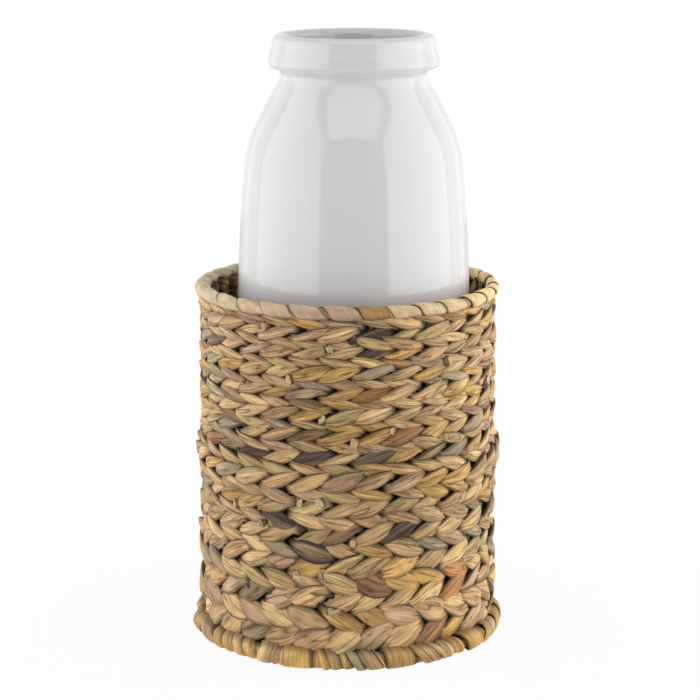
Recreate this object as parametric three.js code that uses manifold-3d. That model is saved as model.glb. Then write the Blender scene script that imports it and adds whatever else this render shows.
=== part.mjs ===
// A glazed vase standing loose in a twined basket.
// Millimetres, +Z up. The origin is on the floor, on the basket's axis.
// Angles round the basket start at the front, -Y, and grow towards +X.

import * as THREE from 'three';
import { mergeVertices } from 'three/addons/utils/BufferGeometryUtils.js';
import Module from 'manifold-3d';

const wasm = await Module();
wasm.setup();

// Vase, heights from its foot, drops from its lip
const VASE_HEIGHT = 367.1;
const VASE_WALL = 5;
const VASE_FLOOR = 8;
const VASE_SHIFT = 3.9; // it stands this far to the right in the basket
const FOOT_RADIUS = 62;
const FOOT_RING_WIDTH = 6;
const FOOT_RECESS = 2.5;
const FOOT_TURN = 12;
const BELLY_RADIUS = 73.5;
const BELLY_HEIGHT = 165;
const BELLY_REACH = 45;
const SHOULDER_RADIUS = 68;
const SHOULDER_DROP = 79.5;
const SHOULDER_LEAN = 0.1; // radius lost for each unit of height
const SHOULDER_REACH = 24;
const NECK_RADIUS = 45.4;
const NECK_DROP = 25.5;
const NECK_FLARE = 1.6;
const NECK_REACH = 7.5;
const COLLAR_RADIUS = 53.2;
const COLLAR_DROP = 17;
const COLLAR_TUCK = 6;
const LIP_RADIUS = 50.6;
const LIP_ROUND = 4;
const MOUTH_RADIUS = 41.5;

// Basket
const BASKET_ROOM = 4.1; // between the vase's belly and the weave
const BASKET_LEAN = 1.6; // the stakes stand this much further out at the foot
const SPOKE_PAIRS = 5;
const STAKES_PER_SPOKE = 3;
const FIRST_STAKE_ANGLE = THREE.MathUtils.degToRad(-2.5);
const STAKE_DIAMETER = 3.6;
const HOOP_DIAMETER = 5;
const HOOP_BITE = 0.9; // depth of a stake let into a hoop

// Weave courses, counted from the rim down
const COURSE_COUNT = 26;
const COURSE_PITCH_RIM = 6.1;
const COURSE_PITCH_FOOT = 12.9;
const LOOSENING_POWER = 3; // how late the courses grow from the rim's pitch to the foot's
const COURSE_LEAN_SHARE = 0.17; // courses that lean down are this share narrower
const STRAND_THICKNESS = 4.2;
const WAIST_HEIGHT = 116;
const WAIST_SWELL = 3;
const WAIST_SPREAD = 9;

// Wound strips
const RIM_STRIP_THICKNESS = 1.7;
const FOOT_STRIP_THICKNESS = 2.7;
const STRIP_GAP = 1; // between the turns where they show
const WAIST_SHARE = 0.25; // share of a turn that passes between two stakes, and is narrower
const RIM_WAIST_PHASE = (5 / 4) * Math.PI; // low on the rim hoop's inner side
const FOOT_WAIST_PHASE = (3 / 4) * Math.PI; // high on the foot hoop's inner side
const STEPS_PER_TURN = 8;
const FOOT_FLAT = 0.5; // cut off the foot wrap, so that it stands flat

// Base
const BASE_LIFT = 1.2;
const BASE_ROUND_COUNT = 6;
const BASE_STRAND_THICKNESS = 3;
const SPOKE_DIAMETER = 3;
const HUB_RADIUS = 22;

// Clearances
const STRAND_CLEARANCE = 0.5;
const SEAT_CLEARANCE = 0.3;

// Facets
const VASE_SIDES = 32;
const BODY_STEPS = 6;
const ROD_SIDES = 6;
const HOOP_STEPS = 60;
const HUB_SIDES = 20;
const STEPS_PER_SPOKE = 2;

// Finishes
const GLAZE = new THREE.MeshStandardMaterial({ color: 0xf1f0ec, roughness: 0.12, metalness: 0 });
const CANE = new THREE.MeshStandardMaterial({ color: 0xb7ab84, roughness: 0.6, metalness: 0 });
const STRIP = new THREE.MeshStandardMaterial({ color: 0xc4a66c, roughness: 0.65, metalness: 0 });
const STEM_COLOURS = [0xa98a58, 0xbb9c66, 0x9a7a52, 0xb39a72, 0x8d7150];
const STEMS = STEM_COLOURS.map(
  (color) => new THREE.MeshStandardMaterial({ color, roughness: 0.75, metalness: 0 }),
);

// Sizes that follow from the ones above
const spokeCount = 2 * SPOKE_PAIRS;
const stakeCount = spokeCount * STAKES_PER_SPOKE;
const stakeStep = (2 * Math.PI) / stakeCount;
const spokeStep = (2 * Math.PI) / spokeCount;
const stakeRadius = STAKE_DIAMETER / 2;
const hoopRadius = HOOP_DIAMETER / 2;
const stakeRoom = stakeRadius + STRAND_CLEARANCE;
const rimStakeCircle = BELLY_RADIUS + VASE_SHIFT + BASKET_ROOM + STRAND_THICKNESS + stakeRoom;
const footStakeCircle = rimStakeCircle + BASKET_LEAN;
const hoopStandOff = stakeRadius + hoopRadius - HOOP_BITE;
const rimHoopCircle = rimStakeCircle + hoopStandOff;
const footHoopCircle = footStakeCircle + hoopStandOff;
const stripInside = (hoopRadius + SEAT_CLEARANCE) / Math.cos(Math.PI / STEPS_PER_TURN);
const rimStripOutside = stripInside + RIM_STRIP_THICKNESS;
const footStripOutside = stripInside + FOOT_STRIP_THICKNESS;
const footHoopHeight = footStripOutside - FOOT_FLAT;

// How far a strand of some thickness swings to each side of the rods that it weaves between.
// Its straight runs then clear a rod, with room about its centre, at every pitch.
function swing(thickness, room, pitch) {
  const half = thickness / 2;
  const share = 1 - (2 * room / pitch) ** 2;
  return (half + Math.sqrt(half ** 2 - share * (half ** 2 - room ** 2))) / share;
}

// Base heights: the innermost round has the shortest runs, so it swings furthest
const spokeRadius = SPOKE_DIAMETER / 2;
const spokeRoom = spokeRadius + STRAND_CLEARANCE;
const baseInside = HUB_RADIUS + SEAT_CLEARANCE;
const baseReach = BASE_STRAND_THICKNESS / 2
  + swing(BASE_STRAND_THICKNESS, spokeRoom, 2 * baseInside * Math.sin(spokeStep / 2));
const spokeHeight = BASE_LIFT + baseReach;
const vaseSeat = spokeHeight + baseReach + SEAT_CLEARANCE;

// Course heights, stacked down from the rim to the foot wrap or the spokes, whichever is higher
const footTop = Math.max(footHoopHeight + footStripOutside, spokeHeight + spokeRadius);
const coursePitches = Array.from({ length: COURSE_COUNT }, (_, i) => {
  const down = i / (COURSE_COUNT - 1);
  const pitch = COURSE_PITCH_RIM + (COURSE_PITCH_FOOT - COURSE_PITCH_RIM) * down ** LOOSENING_POWER;
  return pitch * (i % 2 === 0 ? 1 - COURSE_LEAN_SHARE : 1 + COURSE_LEAN_SHARE);
});
const weaveHeight = coursePitches.reduce((sum, pitch) => sum + pitch, 0);
const weaveTop = footTop + SEAT_CLEARANCE + weaveHeight;
const rimHoopHeight = weaveTop + SEAT_CLEARANCE + rimStripOutside;

function onCircle(radius, angle, height) {
  return new THREE.Vector3(radius * Math.sin(angle), -radius * Math.cos(angle), height);
}

function stakeCircleAt(height) {
  const up = (height - footHoopHeight) / (rimHoopHeight - footHoopHeight);
  return THREE.MathUtils.lerp(footStakeCircle, rimStakeCircle, up);
}

// Booleans

function toSolid(geometry) {
  const bare = geometry.clone();
  bare.deleteAttribute('normal');
  bare.deleteAttribute('uv');
  const merged = mergeVertices(bare);
  return new wasm.Manifold(new wasm.Mesh({
    numProp: 3,
    vertProperties: new Float32Array(merged.attributes.position.array),
    triVerts: new Uint32Array(merged.index.array),
  }));
}

function toGeometry(solid) {
  const mesh = solid.getMesh();
  const geometry = new THREE.BufferGeometry();
  geometry.setAttribute('position', new THREE.BufferAttribute(mesh.vertProperties, mesh.numProp));
  geometry.setIndex(new THREE.BufferAttribute(mesh.triVerts, 1));
  geometry.computeVertexNormals();
  return geometry;
}

// A row of sections, each a list of corners in the same order, skinned to one closed body.
// A ring joins its last section to its first, and an open run has an end face on each end.
function loft(sections, isRing) {
  const corners = sections[0].length;
  const positions = sections.flat().flatMap((corner) => corner.toArray());
  const faces = [];
  const runs = isRing ? sections.length : sections.length - 1;
  for (let i = 0; i < runs; i += 1) {
    const here = i * corners;
    const next = ((i + 1) % sections.length) * corners;
    for (let j = 0; j < corners; j += 1) {
      const k = (j + 1) % corners;
      faces.push(here + j, next + j, next + k, here + j, next + k, here + k);
    }
  }
  if (!isRing) {
    const last = (sections.length - 1) * corners;
    for (let j = 1; j < corners - 1; j += 1) {
      faces.push(0, j, j + 1, last, last + j + 1, last + j);
    }
  }
  const geometry = new THREE.BufferGeometry();
  geometry.setAttribute('position', new THREE.Float32BufferAttribute(positions, 3));
  geometry.setIndex(faces);
  geometry.computeVertexNormals();
  return geometry;
}

// Vase

function vaseProfile() {
  const neck = VASE_HEIGHT - NECK_DROP;
  const shoulder = VASE_HEIGHT - SHOULDER_DROP;
  const collar = VASE_HEIGHT - COLLAR_DROP;
  const shoulderFall = (shoulder - BELLY_HEIGHT) / 3;

  const wall = new THREE.Path();
  wall.moveTo(FOOT_RADIUS, 0);
  wall.bezierCurveTo(
    BELLY_RADIUS, FOOT_TURN,
    BELLY_RADIUS, BELLY_HEIGHT - BELLY_REACH,
    BELLY_RADIUS, BELLY_HEIGHT,
  );
  wall.bezierCurveTo(
    BELLY_RADIUS, BELLY_HEIGHT + BELLY_REACH,
    SHOULDER_RADIUS + SHOULDER_LEAN * shoulderFall, shoulder - shoulderFall,
    SHOULDER_RADIUS, shoulder,
  );
  wall.bezierCurveTo(
    SHOULDER_RADIUS - SHOULDER_LEAN * SHOULDER_REACH, shoulder + SHOULDER_REACH,
    NECK_RADIUS + NECK_FLARE, neck - NECK_REACH,
    NECK_RADIUS, neck,
  );
  const outside = wall.getPoints(BODY_STEPS);

  // The inner face keeps the wall's thickness, square to the outer one
  const inside = outside.map((point, i) => {
    const before = outside[Math.max(i - 1, 0)];
    const after = outside[Math.min(i + 1, outside.length - 1)];
    const along = after.clone().sub(before).normalize();
    return new THREE.Vector2(point.x - along.y * VASE_WALL, point.y + along.x * VASE_WALL);
  });

  const mouth = new THREE.Path();
  mouth.moveTo(NECK_RADIUS, neck);
  mouth.bezierCurveTo(
    NECK_RADIUS, neck + COLLAR_TUCK,
    COLLAR_RADIUS, collar - COLLAR_TUCK,
    COLLAR_RADIUS, collar,
  );
  mouth.bezierCurveTo(
    COLLAR_RADIUS, collar + COLLAR_TUCK,
    LIP_RADIUS, VASE_HEIGHT - LIP_ROUND - COLLAR_TUCK,
    LIP_RADIUS, VASE_HEIGHT - LIP_ROUND,
  );
  mouth.absellipse(
    (LIP_RADIUS + MOUTH_RADIUS) / 2, VASE_HEIGHT - LIP_ROUND,
    (LIP_RADIUS - MOUTH_RADIUS) / 2, LIP_ROUND,
    0, Math.PI, false,
  );
  const rim = mouth.getPoints(BODY_STEPS / 2);

  const floorTop = FOOT_RECESS + VASE_FLOOR;
  const ringInside = FOOT_RADIUS - FOOT_RING_WIDTH;
  return [
    new THREE.Vector2(0, FOOT_RECESS),
    new THREE.Vector2(ringInside - FOOT_RECESS, FOOT_RECESS),
    new THREE.Vector2(ringInside, 0),
    ...outside,
    ...rim.slice(1),
    ...inside.filter((point) => point.y > floorTop).reverse(),
    new THREE.Vector2(ringInside, floorTop),
    new THREE.Vector2(0, floorTop),
  ];
}

function vaseGeometry() {
  return new THREE.LatheGeometry(vaseProfile(), VASE_SIDES).rotateX(Math.PI / 2);
}

// Stake frame

function rod(from, to, diameter) {
  const along = to.clone().sub(from);
  const geometry = new THREE.CylinderGeometry(diameter / 2, diameter / 2, along.length(), ROD_SIDES);
  const turn = new THREE.Quaternion().setFromUnitVectors(new THREE.Vector3(0, 1, 0), along.normalize());
  geometry.applyQuaternion(turn);
  const middle = from.clone().lerp(to, 0.5);
  return geometry.translate(middle.x, middle.y, middle.z);
}

function hoop(circle, height) {
  return new THREE.TorusGeometry(circle, hoopRadius, ROD_SIDES, HOOP_STEPS).translate(0, 0, height);
}

function stakeFrameGeometry() {
  const footHoop = toSolid(hoop(footHoopCircle, footHoopHeight));
  let frame = toSolid(hoop(rimHoopCircle, rimHoopHeight)).add(footHoop);
  for (let i = 0; i < stakeCount; i += 1) {
    const angle = FIRST_STAKE_ANGLE + i * stakeStep;
    const top = onCircle(rimStakeCircle, angle, rimHoopHeight);
    const bottom = onCircle(footStakeCircle, angle, footHoopHeight);
    frame = frame.add(toSolid(rod(bottom, top, STAKE_DIAMETER)));
  }
  const hub = new THREE.CylinderGeometry(HUB_RADIUS, HUB_RADIUS, SPOKE_DIAMETER, HUB_SIDES);
  frame = frame.add(toSolid(hub.rotateX(Math.PI / 2).translate(0, 0, spokeHeight)));
  for (let i = 0; i < spokeCount; i += 1) {
    const angle = FIRST_STAKE_ANGLE + i * spokeStep;
    const inner = onCircle(HUB_RADIUS / 2, angle, spokeHeight);
    const outer = onCircle(stakeCircleAt(spokeHeight), angle, spokeHeight);
    frame = frame.add(toSolid(rod(inner, outer, SPOKE_DIAMETER)));
  }
  return toGeometry(frame);
}

// Weave courses: each strand swings outside one stake and inside the next,
// and the courses above and below it swing the other way

function courseGeometry(index, bottom, top) {
  const middle = (bottom + top) / 2;
  const circle = stakeCircleAt(middle);
  const half = STRAND_THICKNESS / 2;
  const reach = swing(STRAND_THICKNESS, stakeRoom, 2 * circle * Math.sin(stakeStep / 2));
  const swell = WAIST_SWELL * Math.exp(-(((middle - WAIST_HEIGHT) / WAIST_SPREAD) ** 2));
  const sections = [];
  for (let i = 0; i < stakeCount; i += 1) {
    const angle = FIRST_STAKE_ANGLE + i * stakeStep;
    const isOutside = (i + index) % 2 === 0;
    const centre = circle + (isOutside ? reach : -reach);
    const outer = centre + half + (isOutside ? swell : 0);
    const inner = centre - half;
    sections.push([
      onCircle(inner, angle, bottom),
      onCircle(outer, angle, bottom),
      onCircle(outer, angle, top),
      onCircle(inner, angle, top),
    ]);
  }
  return loft(sections, true);
}

// Wound strips: one unbroken strip goes down the outside of its hoop and up the inside,
// one turn to each gap between two stakes, and narrows where it passes between them

function woundStrip(circle, height, outside, waistPhase) {
  const shown = circle * stakeStep - STRIP_GAP;
  const betweenStakes = (circle - hoopStandOff) * stakeStep * (1 - WAIST_SHARE);
  const waist = betweenStakes - STAKE_DIAMETER - 2 * STRAND_CLEARANCE;
  const sections = [];
  for (let i = 0; i < stakeCount * STEPS_PER_TURN; i += 1) {
    const turns = i / STEPS_PER_TURN;
    const phase = waistPhase - 2 * Math.PI * turns;
    const angle = FIRST_STAKE_ANGLE + stakeStep * (turns + 0.5);
    const fromWaist = Math.abs(turns - Math.round(turns));
    const halfAngle = (fromWaist <= WAIST_SHARE / 2 ? waist : shown) / (2 * circle);
    const at = (depth, side) => onCircle(
      circle + depth * Math.cos(phase),
      angle + side * halfAngle,
      height + depth * Math.sin(phase),
    );
    sections.push([at(stripInside, -1), at(outside, -1), at(outside, 1), at(stripInside, 1)]);
  }
  return sections;
}

// Least distance between points on the edges of turns that lie side by side
function leastGap(sections) {
  const cuts = 4;
  const points = [];
  for (let i = 0; i < sections.length - 1; i += 1) {
    for (let j = 0; j < cuts; j += 1) {
      sections[i].forEach((corner, k) => {
        const at = corner.clone().lerp(sections[i + 1][k], j / cuts);
        points.push({ turn: (i + j / cuts) / STEPS_PER_TURN, at });
      });
    }
  }
  let least = Infinity;
  points.forEach((one, i) => {
    for (let j = i + 1; j < points.length; j += 1) {
      if (points[j].turn - one.turn > 0.5) {
        least = Math.min(least, one.at.distanceTo(points[j].at));
      }
    }
  });
  return least;
}

function rimWrapGeometry() {
  const sections = woundStrip(rimHoopCircle, rimHoopHeight, rimStripOutside, RIM_WAIST_PHASE);
  console.log(`rim_wrap: least gap to itself ${leastGap(sections).toFixed(2)} mm`);
  return loft(sections, false);
}

function footWrapGeometry() {
  const sections = woundStrip(footHoopCircle, footHoopHeight, footStripOutside, FOOT_WAIST_PHASE);
  console.log(`foot_wrap: least gap to itself ${leastGap(sections).toFixed(2)} mm`);
  const width = 2 * (footHoopCircle + HOOP_DIAMETER + footStripOutside);
  const under = new THREE.BoxGeometry(width, width, footStripOutside).translate(0, 0, -footStripOutside / 2);
  return toGeometry(toSolid(loft(sections, false)).subtract(toSolid(under)));
}

// Base rounds: flat strands that go over one spoke and under the next

function baseRoundGeometry(index) {
  const baseOutside = stakeCircleAt(footTop) - swing(
    STRAND_THICKNESS, stakeRoom, 2 * footStakeCircle * Math.sin(stakeStep / 2),
  ) - STRAND_THICKNESS / 2 - STRAND_CLEARANCE;
  const width = (baseOutside - baseInside) / BASE_ROUND_COUNT;
  const inner = baseInside + index * width;
  const outer = inner + width - SEAT_CLEARANCE;
  const half = BASE_STRAND_THICKNESS / 2;
  const reach = swing(BASE_STRAND_THICKNESS, spokeRoom, 2 * inner * Math.sin(spokeStep / 2));
  const sections = [];
  for (let i = 0; i < spokeCount * STEPS_PER_SPOKE; i += 1) {
    const spoke = i / STEPS_PER_SPOKE + index;
    const toNext = Math.abs((spoke % 2) - 1);
    const middle = spokeHeight + reach * (2 * toNext - 1);
    const angle = FIRST_STAKE_ANGLE + (i / STEPS_PER_SPOKE) * spokeStep;
    sections.push([
      onCircle(inner, angle, middle - half),
      onCircle(outer, angle, middle - half),
      onCircle(outer, angle, middle + half),
      onCircle(inner, angle, middle + half),
    ]);
  }
  return loft(sections, true);
}

// Assembly

const basketVase = new THREE.Group();

function place(name, geometry, material, parent = basketVase) {
  const mesh = new THREE.Mesh(geometry, material);
  mesh.name = name;
  parent.add(mesh);
}

const standing = new THREE.Group();
standing.position.set(VASE_SHIFT, 0, vaseSeat);
basketVase.add(standing);
place('vase', vaseGeometry(), GLAZE, standing);

place('stake_frame', stakeFrameGeometry(), CANE);
place('rim_wrap', rimWrapGeometry(), STRIP);
place('foot_wrap', footWrapGeometry(), STRIP);

let courseTop = weaveTop;
coursePitches.forEach((pitch, i) => {
  const bottom = courseTop - pitch + SEAT_CLEARANCE;
  const name = `weave_course_${String(i + 1).padStart(2, '0')}`;
  place(name, courseGeometry(i, bottom, courseTop), STEMS[i % STEMS.length]);
  courseTop -= pitch;
});

for (let i = 0; i < BASE_ROUND_COUNT; i += 1) {
  place(`base_round_${i + 1}`, baseRoundGeometry(i), STEMS[i % STEMS.length]);
}

export default basketVase;
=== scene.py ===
"""Looks of a white glazed vase that stands loose in a basket of twined stems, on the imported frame."""

import math
import random
from collections import namedtuple

import bmesh
import bpy
from bpy.props import FloatProperty, FloatVectorProperty, IntProperty, PointerProperty
from mathutils import Color, Matrix, Vector, noise
from mathutils.geometry import interpolate_bezier


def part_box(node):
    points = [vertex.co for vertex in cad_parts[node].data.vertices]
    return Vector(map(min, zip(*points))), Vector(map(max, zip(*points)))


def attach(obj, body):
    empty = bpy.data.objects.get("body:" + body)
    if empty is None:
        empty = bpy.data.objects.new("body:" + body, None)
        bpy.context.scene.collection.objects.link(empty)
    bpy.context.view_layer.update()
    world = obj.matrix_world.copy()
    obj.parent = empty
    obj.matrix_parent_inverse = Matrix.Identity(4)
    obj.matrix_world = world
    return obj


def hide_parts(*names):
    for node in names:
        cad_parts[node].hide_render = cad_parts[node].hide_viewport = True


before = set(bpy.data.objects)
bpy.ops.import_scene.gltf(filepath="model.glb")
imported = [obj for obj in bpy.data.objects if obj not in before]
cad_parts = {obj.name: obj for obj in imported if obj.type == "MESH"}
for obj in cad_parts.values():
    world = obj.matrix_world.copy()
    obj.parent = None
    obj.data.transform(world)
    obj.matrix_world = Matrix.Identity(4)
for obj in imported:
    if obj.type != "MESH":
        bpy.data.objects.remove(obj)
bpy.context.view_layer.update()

bl_info = {
    "name": "Vase in a Woven Basket",
    "version": (1, 0, 0),
    "blender": (4, 5, 0),
    "location": "3D View > Sidebar > Basket Vase",
    "description": "Dresses the packed vase and basket, and sets the stage for them",
    "category": "Add Mesh",
}

VASE_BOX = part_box("vase")
RIM_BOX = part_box("rim_wrap")
FOOT_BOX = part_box("foot_wrap")
COURSE_NODES = sorted(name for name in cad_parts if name.startswith("weave_course"))
BASE_NODES = sorted(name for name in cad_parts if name.startswith("base_round"))

STEM_COLOUR = "stem_colour"
FIBRE_MAP = "fibre"
INSIDE = "inside"
MERGE_DISTANCE = 1e-6
UP = Vector((0, 0, 1))


def length(name, description, default):
    """A size in metres."""
    return FloatProperty(name=name, description=description, default=default, precision=4, unit="LENGTH")


def factor(name, description, default):
    """A plain number, such as a share of another size."""
    return FloatProperty(name=name, description=description, default=default, precision=3)


def bearing(name, description, degrees):
    """An angle, given in degrees."""
    return FloatProperty(name=name, description=description, default=math.radians(degrees), subtype="ANGLE")


def count(name, description, default):
    """A number of things."""
    return IntProperty(name=name, description=description, default=default)


def optic(name, description, default):
    """A size in a camera, in millimetres."""
    return FloatProperty(name=name, description=description, default=default, unit="CAMERA")


def tint(name, description, default):
    """A colour as it shows on a screen."""
    return FloatVectorProperty(
        name=name, description=description, default=default, size=3, min=0, max=1, subtype="COLOR_GAMMA",
    )


class VaseSettings(bpy.types.PropertyGroup):
    """Outline and glaze of the vase; radii from its axis, drops from its lip."""

    wall: length("Wall", "Thickness of the wall", 0.005)
    floor: length("Floor", "Thickness of the floor", 0.008)
    foot_radius: length("Foot Radius", "Outside of the foot ring", 0.062)
    foot_ring: length("Foot Ring", "Width of the ring that it stands on", 0.006)
    foot_recess: length("Foot Recess", "Depth of the hollow under the foot", 0.0025)
    foot_turn: length("Foot Turn", "How soon the wall turns up from the foot", 0.012)
    belly_radius: length("Belly Radius", "Widest radius of the body", 0.0735)
    belly_height: length("Belly Height", "Height of the widest place", 0.165)
    belly_reach: length("Belly Reach", "How long the wall stays upright there", 0.045)
    shoulder_radius: length("Shoulder Radius", "Radius where the shoulder begins", 0.068)
    shoulder_drop: length("Shoulder Drop", "Depth of that place under the lip", 0.0795)
    shoulder_lean: factor("Shoulder Lean", "Radius lost for each unit of height there", 0.1)
    shoulder_reach: length("Shoulder Reach", "How far the shoulder runs on before it turns in", 0.024)
    neck_radius: length("Neck Radius", "Narrowest radius, under the collar", 0.0454)
    neck_drop: length("Neck Drop", "Depth of the neck under the lip", 0.0255)
    neck_flare: length("Neck Flare", "Spread of the shoulder's end below the neck", 0.0016)
    neck_reach: length("Neck Reach", "How far below the neck that spread begins", 0.0075)
    collar_radius: length("Collar Radius", "Widest radius of the collar", 0.0532)
    collar_drop: length("Collar Drop", "Depth of the collar's widest place under the lip", 0.017)
    collar_tuck: length("Collar Tuck", "Roundness of the collar", 0.006)
    crease_drop: length("Crease Drop", "Depth of the faint crease round the collar under the lip", 0.0148)
    crease_width: length("Crease Width", "Half width of that crease", 0.0011)
    lip_radius: length("Lip Radius", "Outside radius at the lip", 0.0506)
    lip_round: length("Lip Round", "Height of the rounded lip", 0.004)
    mouth_radius: length("Mouth Radius", "Radius of the mouth", 0.0415)
    around: count("Around", "Faces round the vase", 160)
    steps: count("Steps", "Points on each curve of the outline", 14)
    sharp: bearing("Sharp", "Angle from which an edge isn't shaded smoothly", 40)
    # Pool Fade is the height over which the painted light above the rim fades out
    light_painted_fade: length("Pool Fade", "Height above the rim over which the pooled glaze thins out", 0.03)
    bare_height: length("Bare Height", "Height of the bare clay at the foot", 0.0012)
    glaze_edge: length("Glaze Edge", "Height over which the glaze begins there", 0.0008)
    glaze: tint("Glaze", "White glaze", (0.90, 0.90, 0.90))
    # Pooled Glaze is painted light: slightly paler and cooler than the glaze, it lifts the shade and warm
    # bounce that the basket's rim casts on the vase
    light_painted: tint("Pooled Glaze", "Glaze where it lies thicker, low on the body", (0.905, 0.911, 0.921))
    # Thin Glaze is painted shade: the inside of the vase is darker than the outside
    shaded_inside: tint("Thin Glaze", "Glaze inside, where it is thinner", (0.85, 0.85, 0.85))
    clay: tint("Clay", "Bare clay of the foot ring", (0.80, 0.75, 0.68))


class WeaveSettings(bpy.types.PropertyGroup):
    """Sizes of the stakes and of the stems that are twined round them."""

    stakes: count("Stakes", "Stakes round the basket", 30)
    spokes: count("Spokes", "Spokes of the base", 10)
    first_stake: bearing("First Stake", "Angle of the first stake", -2.5)
    stake_radius: length("Stake Radius", "Radius of a stake", 0.0018)
    hoop_radius: length("Hoop Radius", "Radius of the hoops' cane", 0.0025)
    spoke_radius: length("Spoke Radius", "Radius of a spoke", 0.0015)
    hub_radius: length("Hub Radius", "Radius of the lashing where the spokes meet", 0.022)
    stand_off: length("Stand-off", "Distance of a hoop outside the stakes", 0.0034)
    swing: length("Swing", "How far a stem swings out and in round the stakes", 0.0038)
    thickness: length("Thickness", "Thickness of a flattened stem", 0.0031)
    width_share: factor("Width Share", "Half width of a stem for each unit of a course's height", 0.60)
    rise_share: factor("Rise Share", "Rise of a stem for each unit of a course's height", 0.42)
    inner_width: length("Inner Width", "Half width of a stem behind a stake", 0.0047)
    inner_share: factor("Inner Share", "That half width on high courses, as a share of their height", 0.6)
    inner_reach: factor("Inner Reach", "How far from a stake behind it the stem widens, in stakes", 0.68)
    thinnest: length("Thinnest", "Half width of a stem where it goes in", 0.0020)
    reach: factor("Reach", "How far a stroke shows on either side of its stake, in stakes", 0.82)
    leaf: factor("Leaf", "Power of a stroke's taper, blunter the higher it is", 1.95)
    flatness: factor("Flatness", "Power of a stem's section, squarer the lower it is", 0.62)
    shingle: length("Shingle", "How far a stroke's head stands out over the tail before it", 0.0008)
    tuck: length("Tuck", "How far the first course is pushed up under the rim", 0.0009)
    stray: factor("Stray", "How far a stem lies off its course, as a share of the course's height", 0.14)
    # Front Dark and Front Spread set painted shade: the stems are darker in front, fading out towards the
    # sides
    painted_front_shade: factor("Front Dark", "How much darker the stems are in front", 0.17)
    front_spread: bearing("Front Spread", "Angle over which the front fades to the sides", 34.4)
    proud: length("Proud", "How far one course stands out over the next", 0.0002)
    bow: factor("Bow", "Power of a stroke's bow round its stake, flatter the lower it is", 0.45)
    wander: length("Wander", "How far a course strays up and down", 0.0021)
    waist_height: length("Waist Height", "Height of the courses that bulge", 0.116)
    waist_swell: length("Waist Swell", "How far they bulge", 0.003)
    waist_spread: length("Waist Spread", "Height over which the bulge dies out", 0.009)
    low_start: length("Low Start", "Height below which the courses grow coarser", 0.085)
    low_full: length("Low Full", "Height below which they are at their coarsest", 0.045)
    clearance: length("Clearance", "Room between two courses", 0.0005)
    girth: length("Girth", "Length round a stem that its fibres are drawn on", 0.026)
    steps: count("Steps", "Rings of a stem for each stake", 12)
    sides: count("Sides", "Faces round a stem", 18)
    base_thickness: length("Base Thickness", "Thickness of a flat stem of the base", 0.003)
    root_depth: length("Root Depth", "How far outside the stakes a loose stem end starts", 0.0033)
    back_ends: count("Back Ends", "Stem ends round the sides and the back", 40)
    end_sharp: bearing("End Sharp", "Angle from which an edge of a stem end isn't shaded smoothly", 50)
    seed: count("Seed", "Start of the random draws", 7)


class StripSettings(bpy.types.PropertyGroup):
    """Sizes of the flat strips wound round the rim and the foot."""

    thickness: length("Thickness", "Thickness of the strip", 0.0010)
    overlap: factor("Overlap", "Share of a turn that lies over the next", 0.12)
    shingle: length("Shingle", "Height of a turn's left edge over the turn before", 0.0013)
    crown: length("Crown", "How far a turn is rounded across its width", 0.0006)
    slim: length("Slim", "How much the rim's strip is thinner than its solid", 0.0005)
    # Seam, Foot Seam, Tuck Dark and Seam Dark set painted shade along the turns' edges and where a strip
    # meets the weave
    seam: factor("Seam", "Share of a turn's width that is dark at its edge", 0.04)
    foot_seam: factor("Foot Seam", "The same share at the foot", 0.075)
    tuck_painted_shade: factor("Tuck Dark", "How much darker a strip is where it meets the weave", 0.5)
    seam_painted_shade: factor("Seam Dark", "How dark a turn's edge is", 0.9)
    mottle: factor("Mottle", "How uneven the strip's colour is", 0.3)
    foot_flat: length("Foot Flat", "Depth of the flat that the foot stands on", 0.0005)
    burnt_turn: count("Burnt Turn", "Turn of the rim that dried orange brown", 0)
    foot_rough: factor("Foot Roughness", "How uneven the foot's turns are, against the rim's", 2.6)
    foot_lift: length("Foot Lift", "Height of the foot's underside over the floor", 0.0001)
    turn_run: length("Turn Run", "Length of a turn that its fibres are drawn on", 0.03)
    rim_girth: length("Rim Girth", "Length round the rim's strip that its fibres are drawn on", 0.045)
    foot_girth: length("Foot Girth", "The same length at the foot", 0.024)
    steps: count("Steps", "Rings of a strip for each turn", 22)
    sides: count("Sides", "Faces round a strip", 44)


class StemColours(bpy.types.PropertyGroup):
    """Colours that dried stems take."""

    straw: tint("Straw", "Pale yellow stems", (0.885, 0.745, 0.51))
    ochre: tint("Ochre", "Deep yellow stems", (0.87, 0.695, 0.40))
    tan: tint("Tan", "Plain tan stems", (0.83, 0.68, 0.472))
    rose: tint("Rose Tan", "Tan stems with a touch of pink", (0.80, 0.65, 0.495))
    sage: tint("Sage", "Stems dried a greyish green", (0.71, 0.622, 0.48))
    rust: tint("Rust", "Stems dried a red brown", (0.71, 0.50, 0.29))
    brown: tint("Brown", "Stems dried brown", (0.57, 0.43, 0.30))
    plum: tint("Plum", "Stems dried nearly black", (0.375, 0.28, 0.22))
    pith: tint("Pith", "Pale pith at a cut end", (0.90, 0.82, 0.67))
    cane: tint("Cane", "Cane of the stakes", (0.74, 0.69, 0.50))
    rim_pale: tint("Pale Rim Strip", "Rim strip on the paler side", (0.84, 0.76, 0.615))
    # Rose Rim Strip is pinker than the other rim colours, and darker too, which is painted shade in front
    rim_rose: tint("Rose Rim Strip", "Rim strip in front, with a touch of pink", (0.785, 0.655, 0.545))
    rim_deep: tint("Deep Rim Strip", "Rim strip on the yellower side", (0.895, 0.77, 0.54))
    rim_burnt: tint("Burnt Rim Strip", "The one rim turn that dried orange brown", (0.695, 0.53, 0.325))


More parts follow.
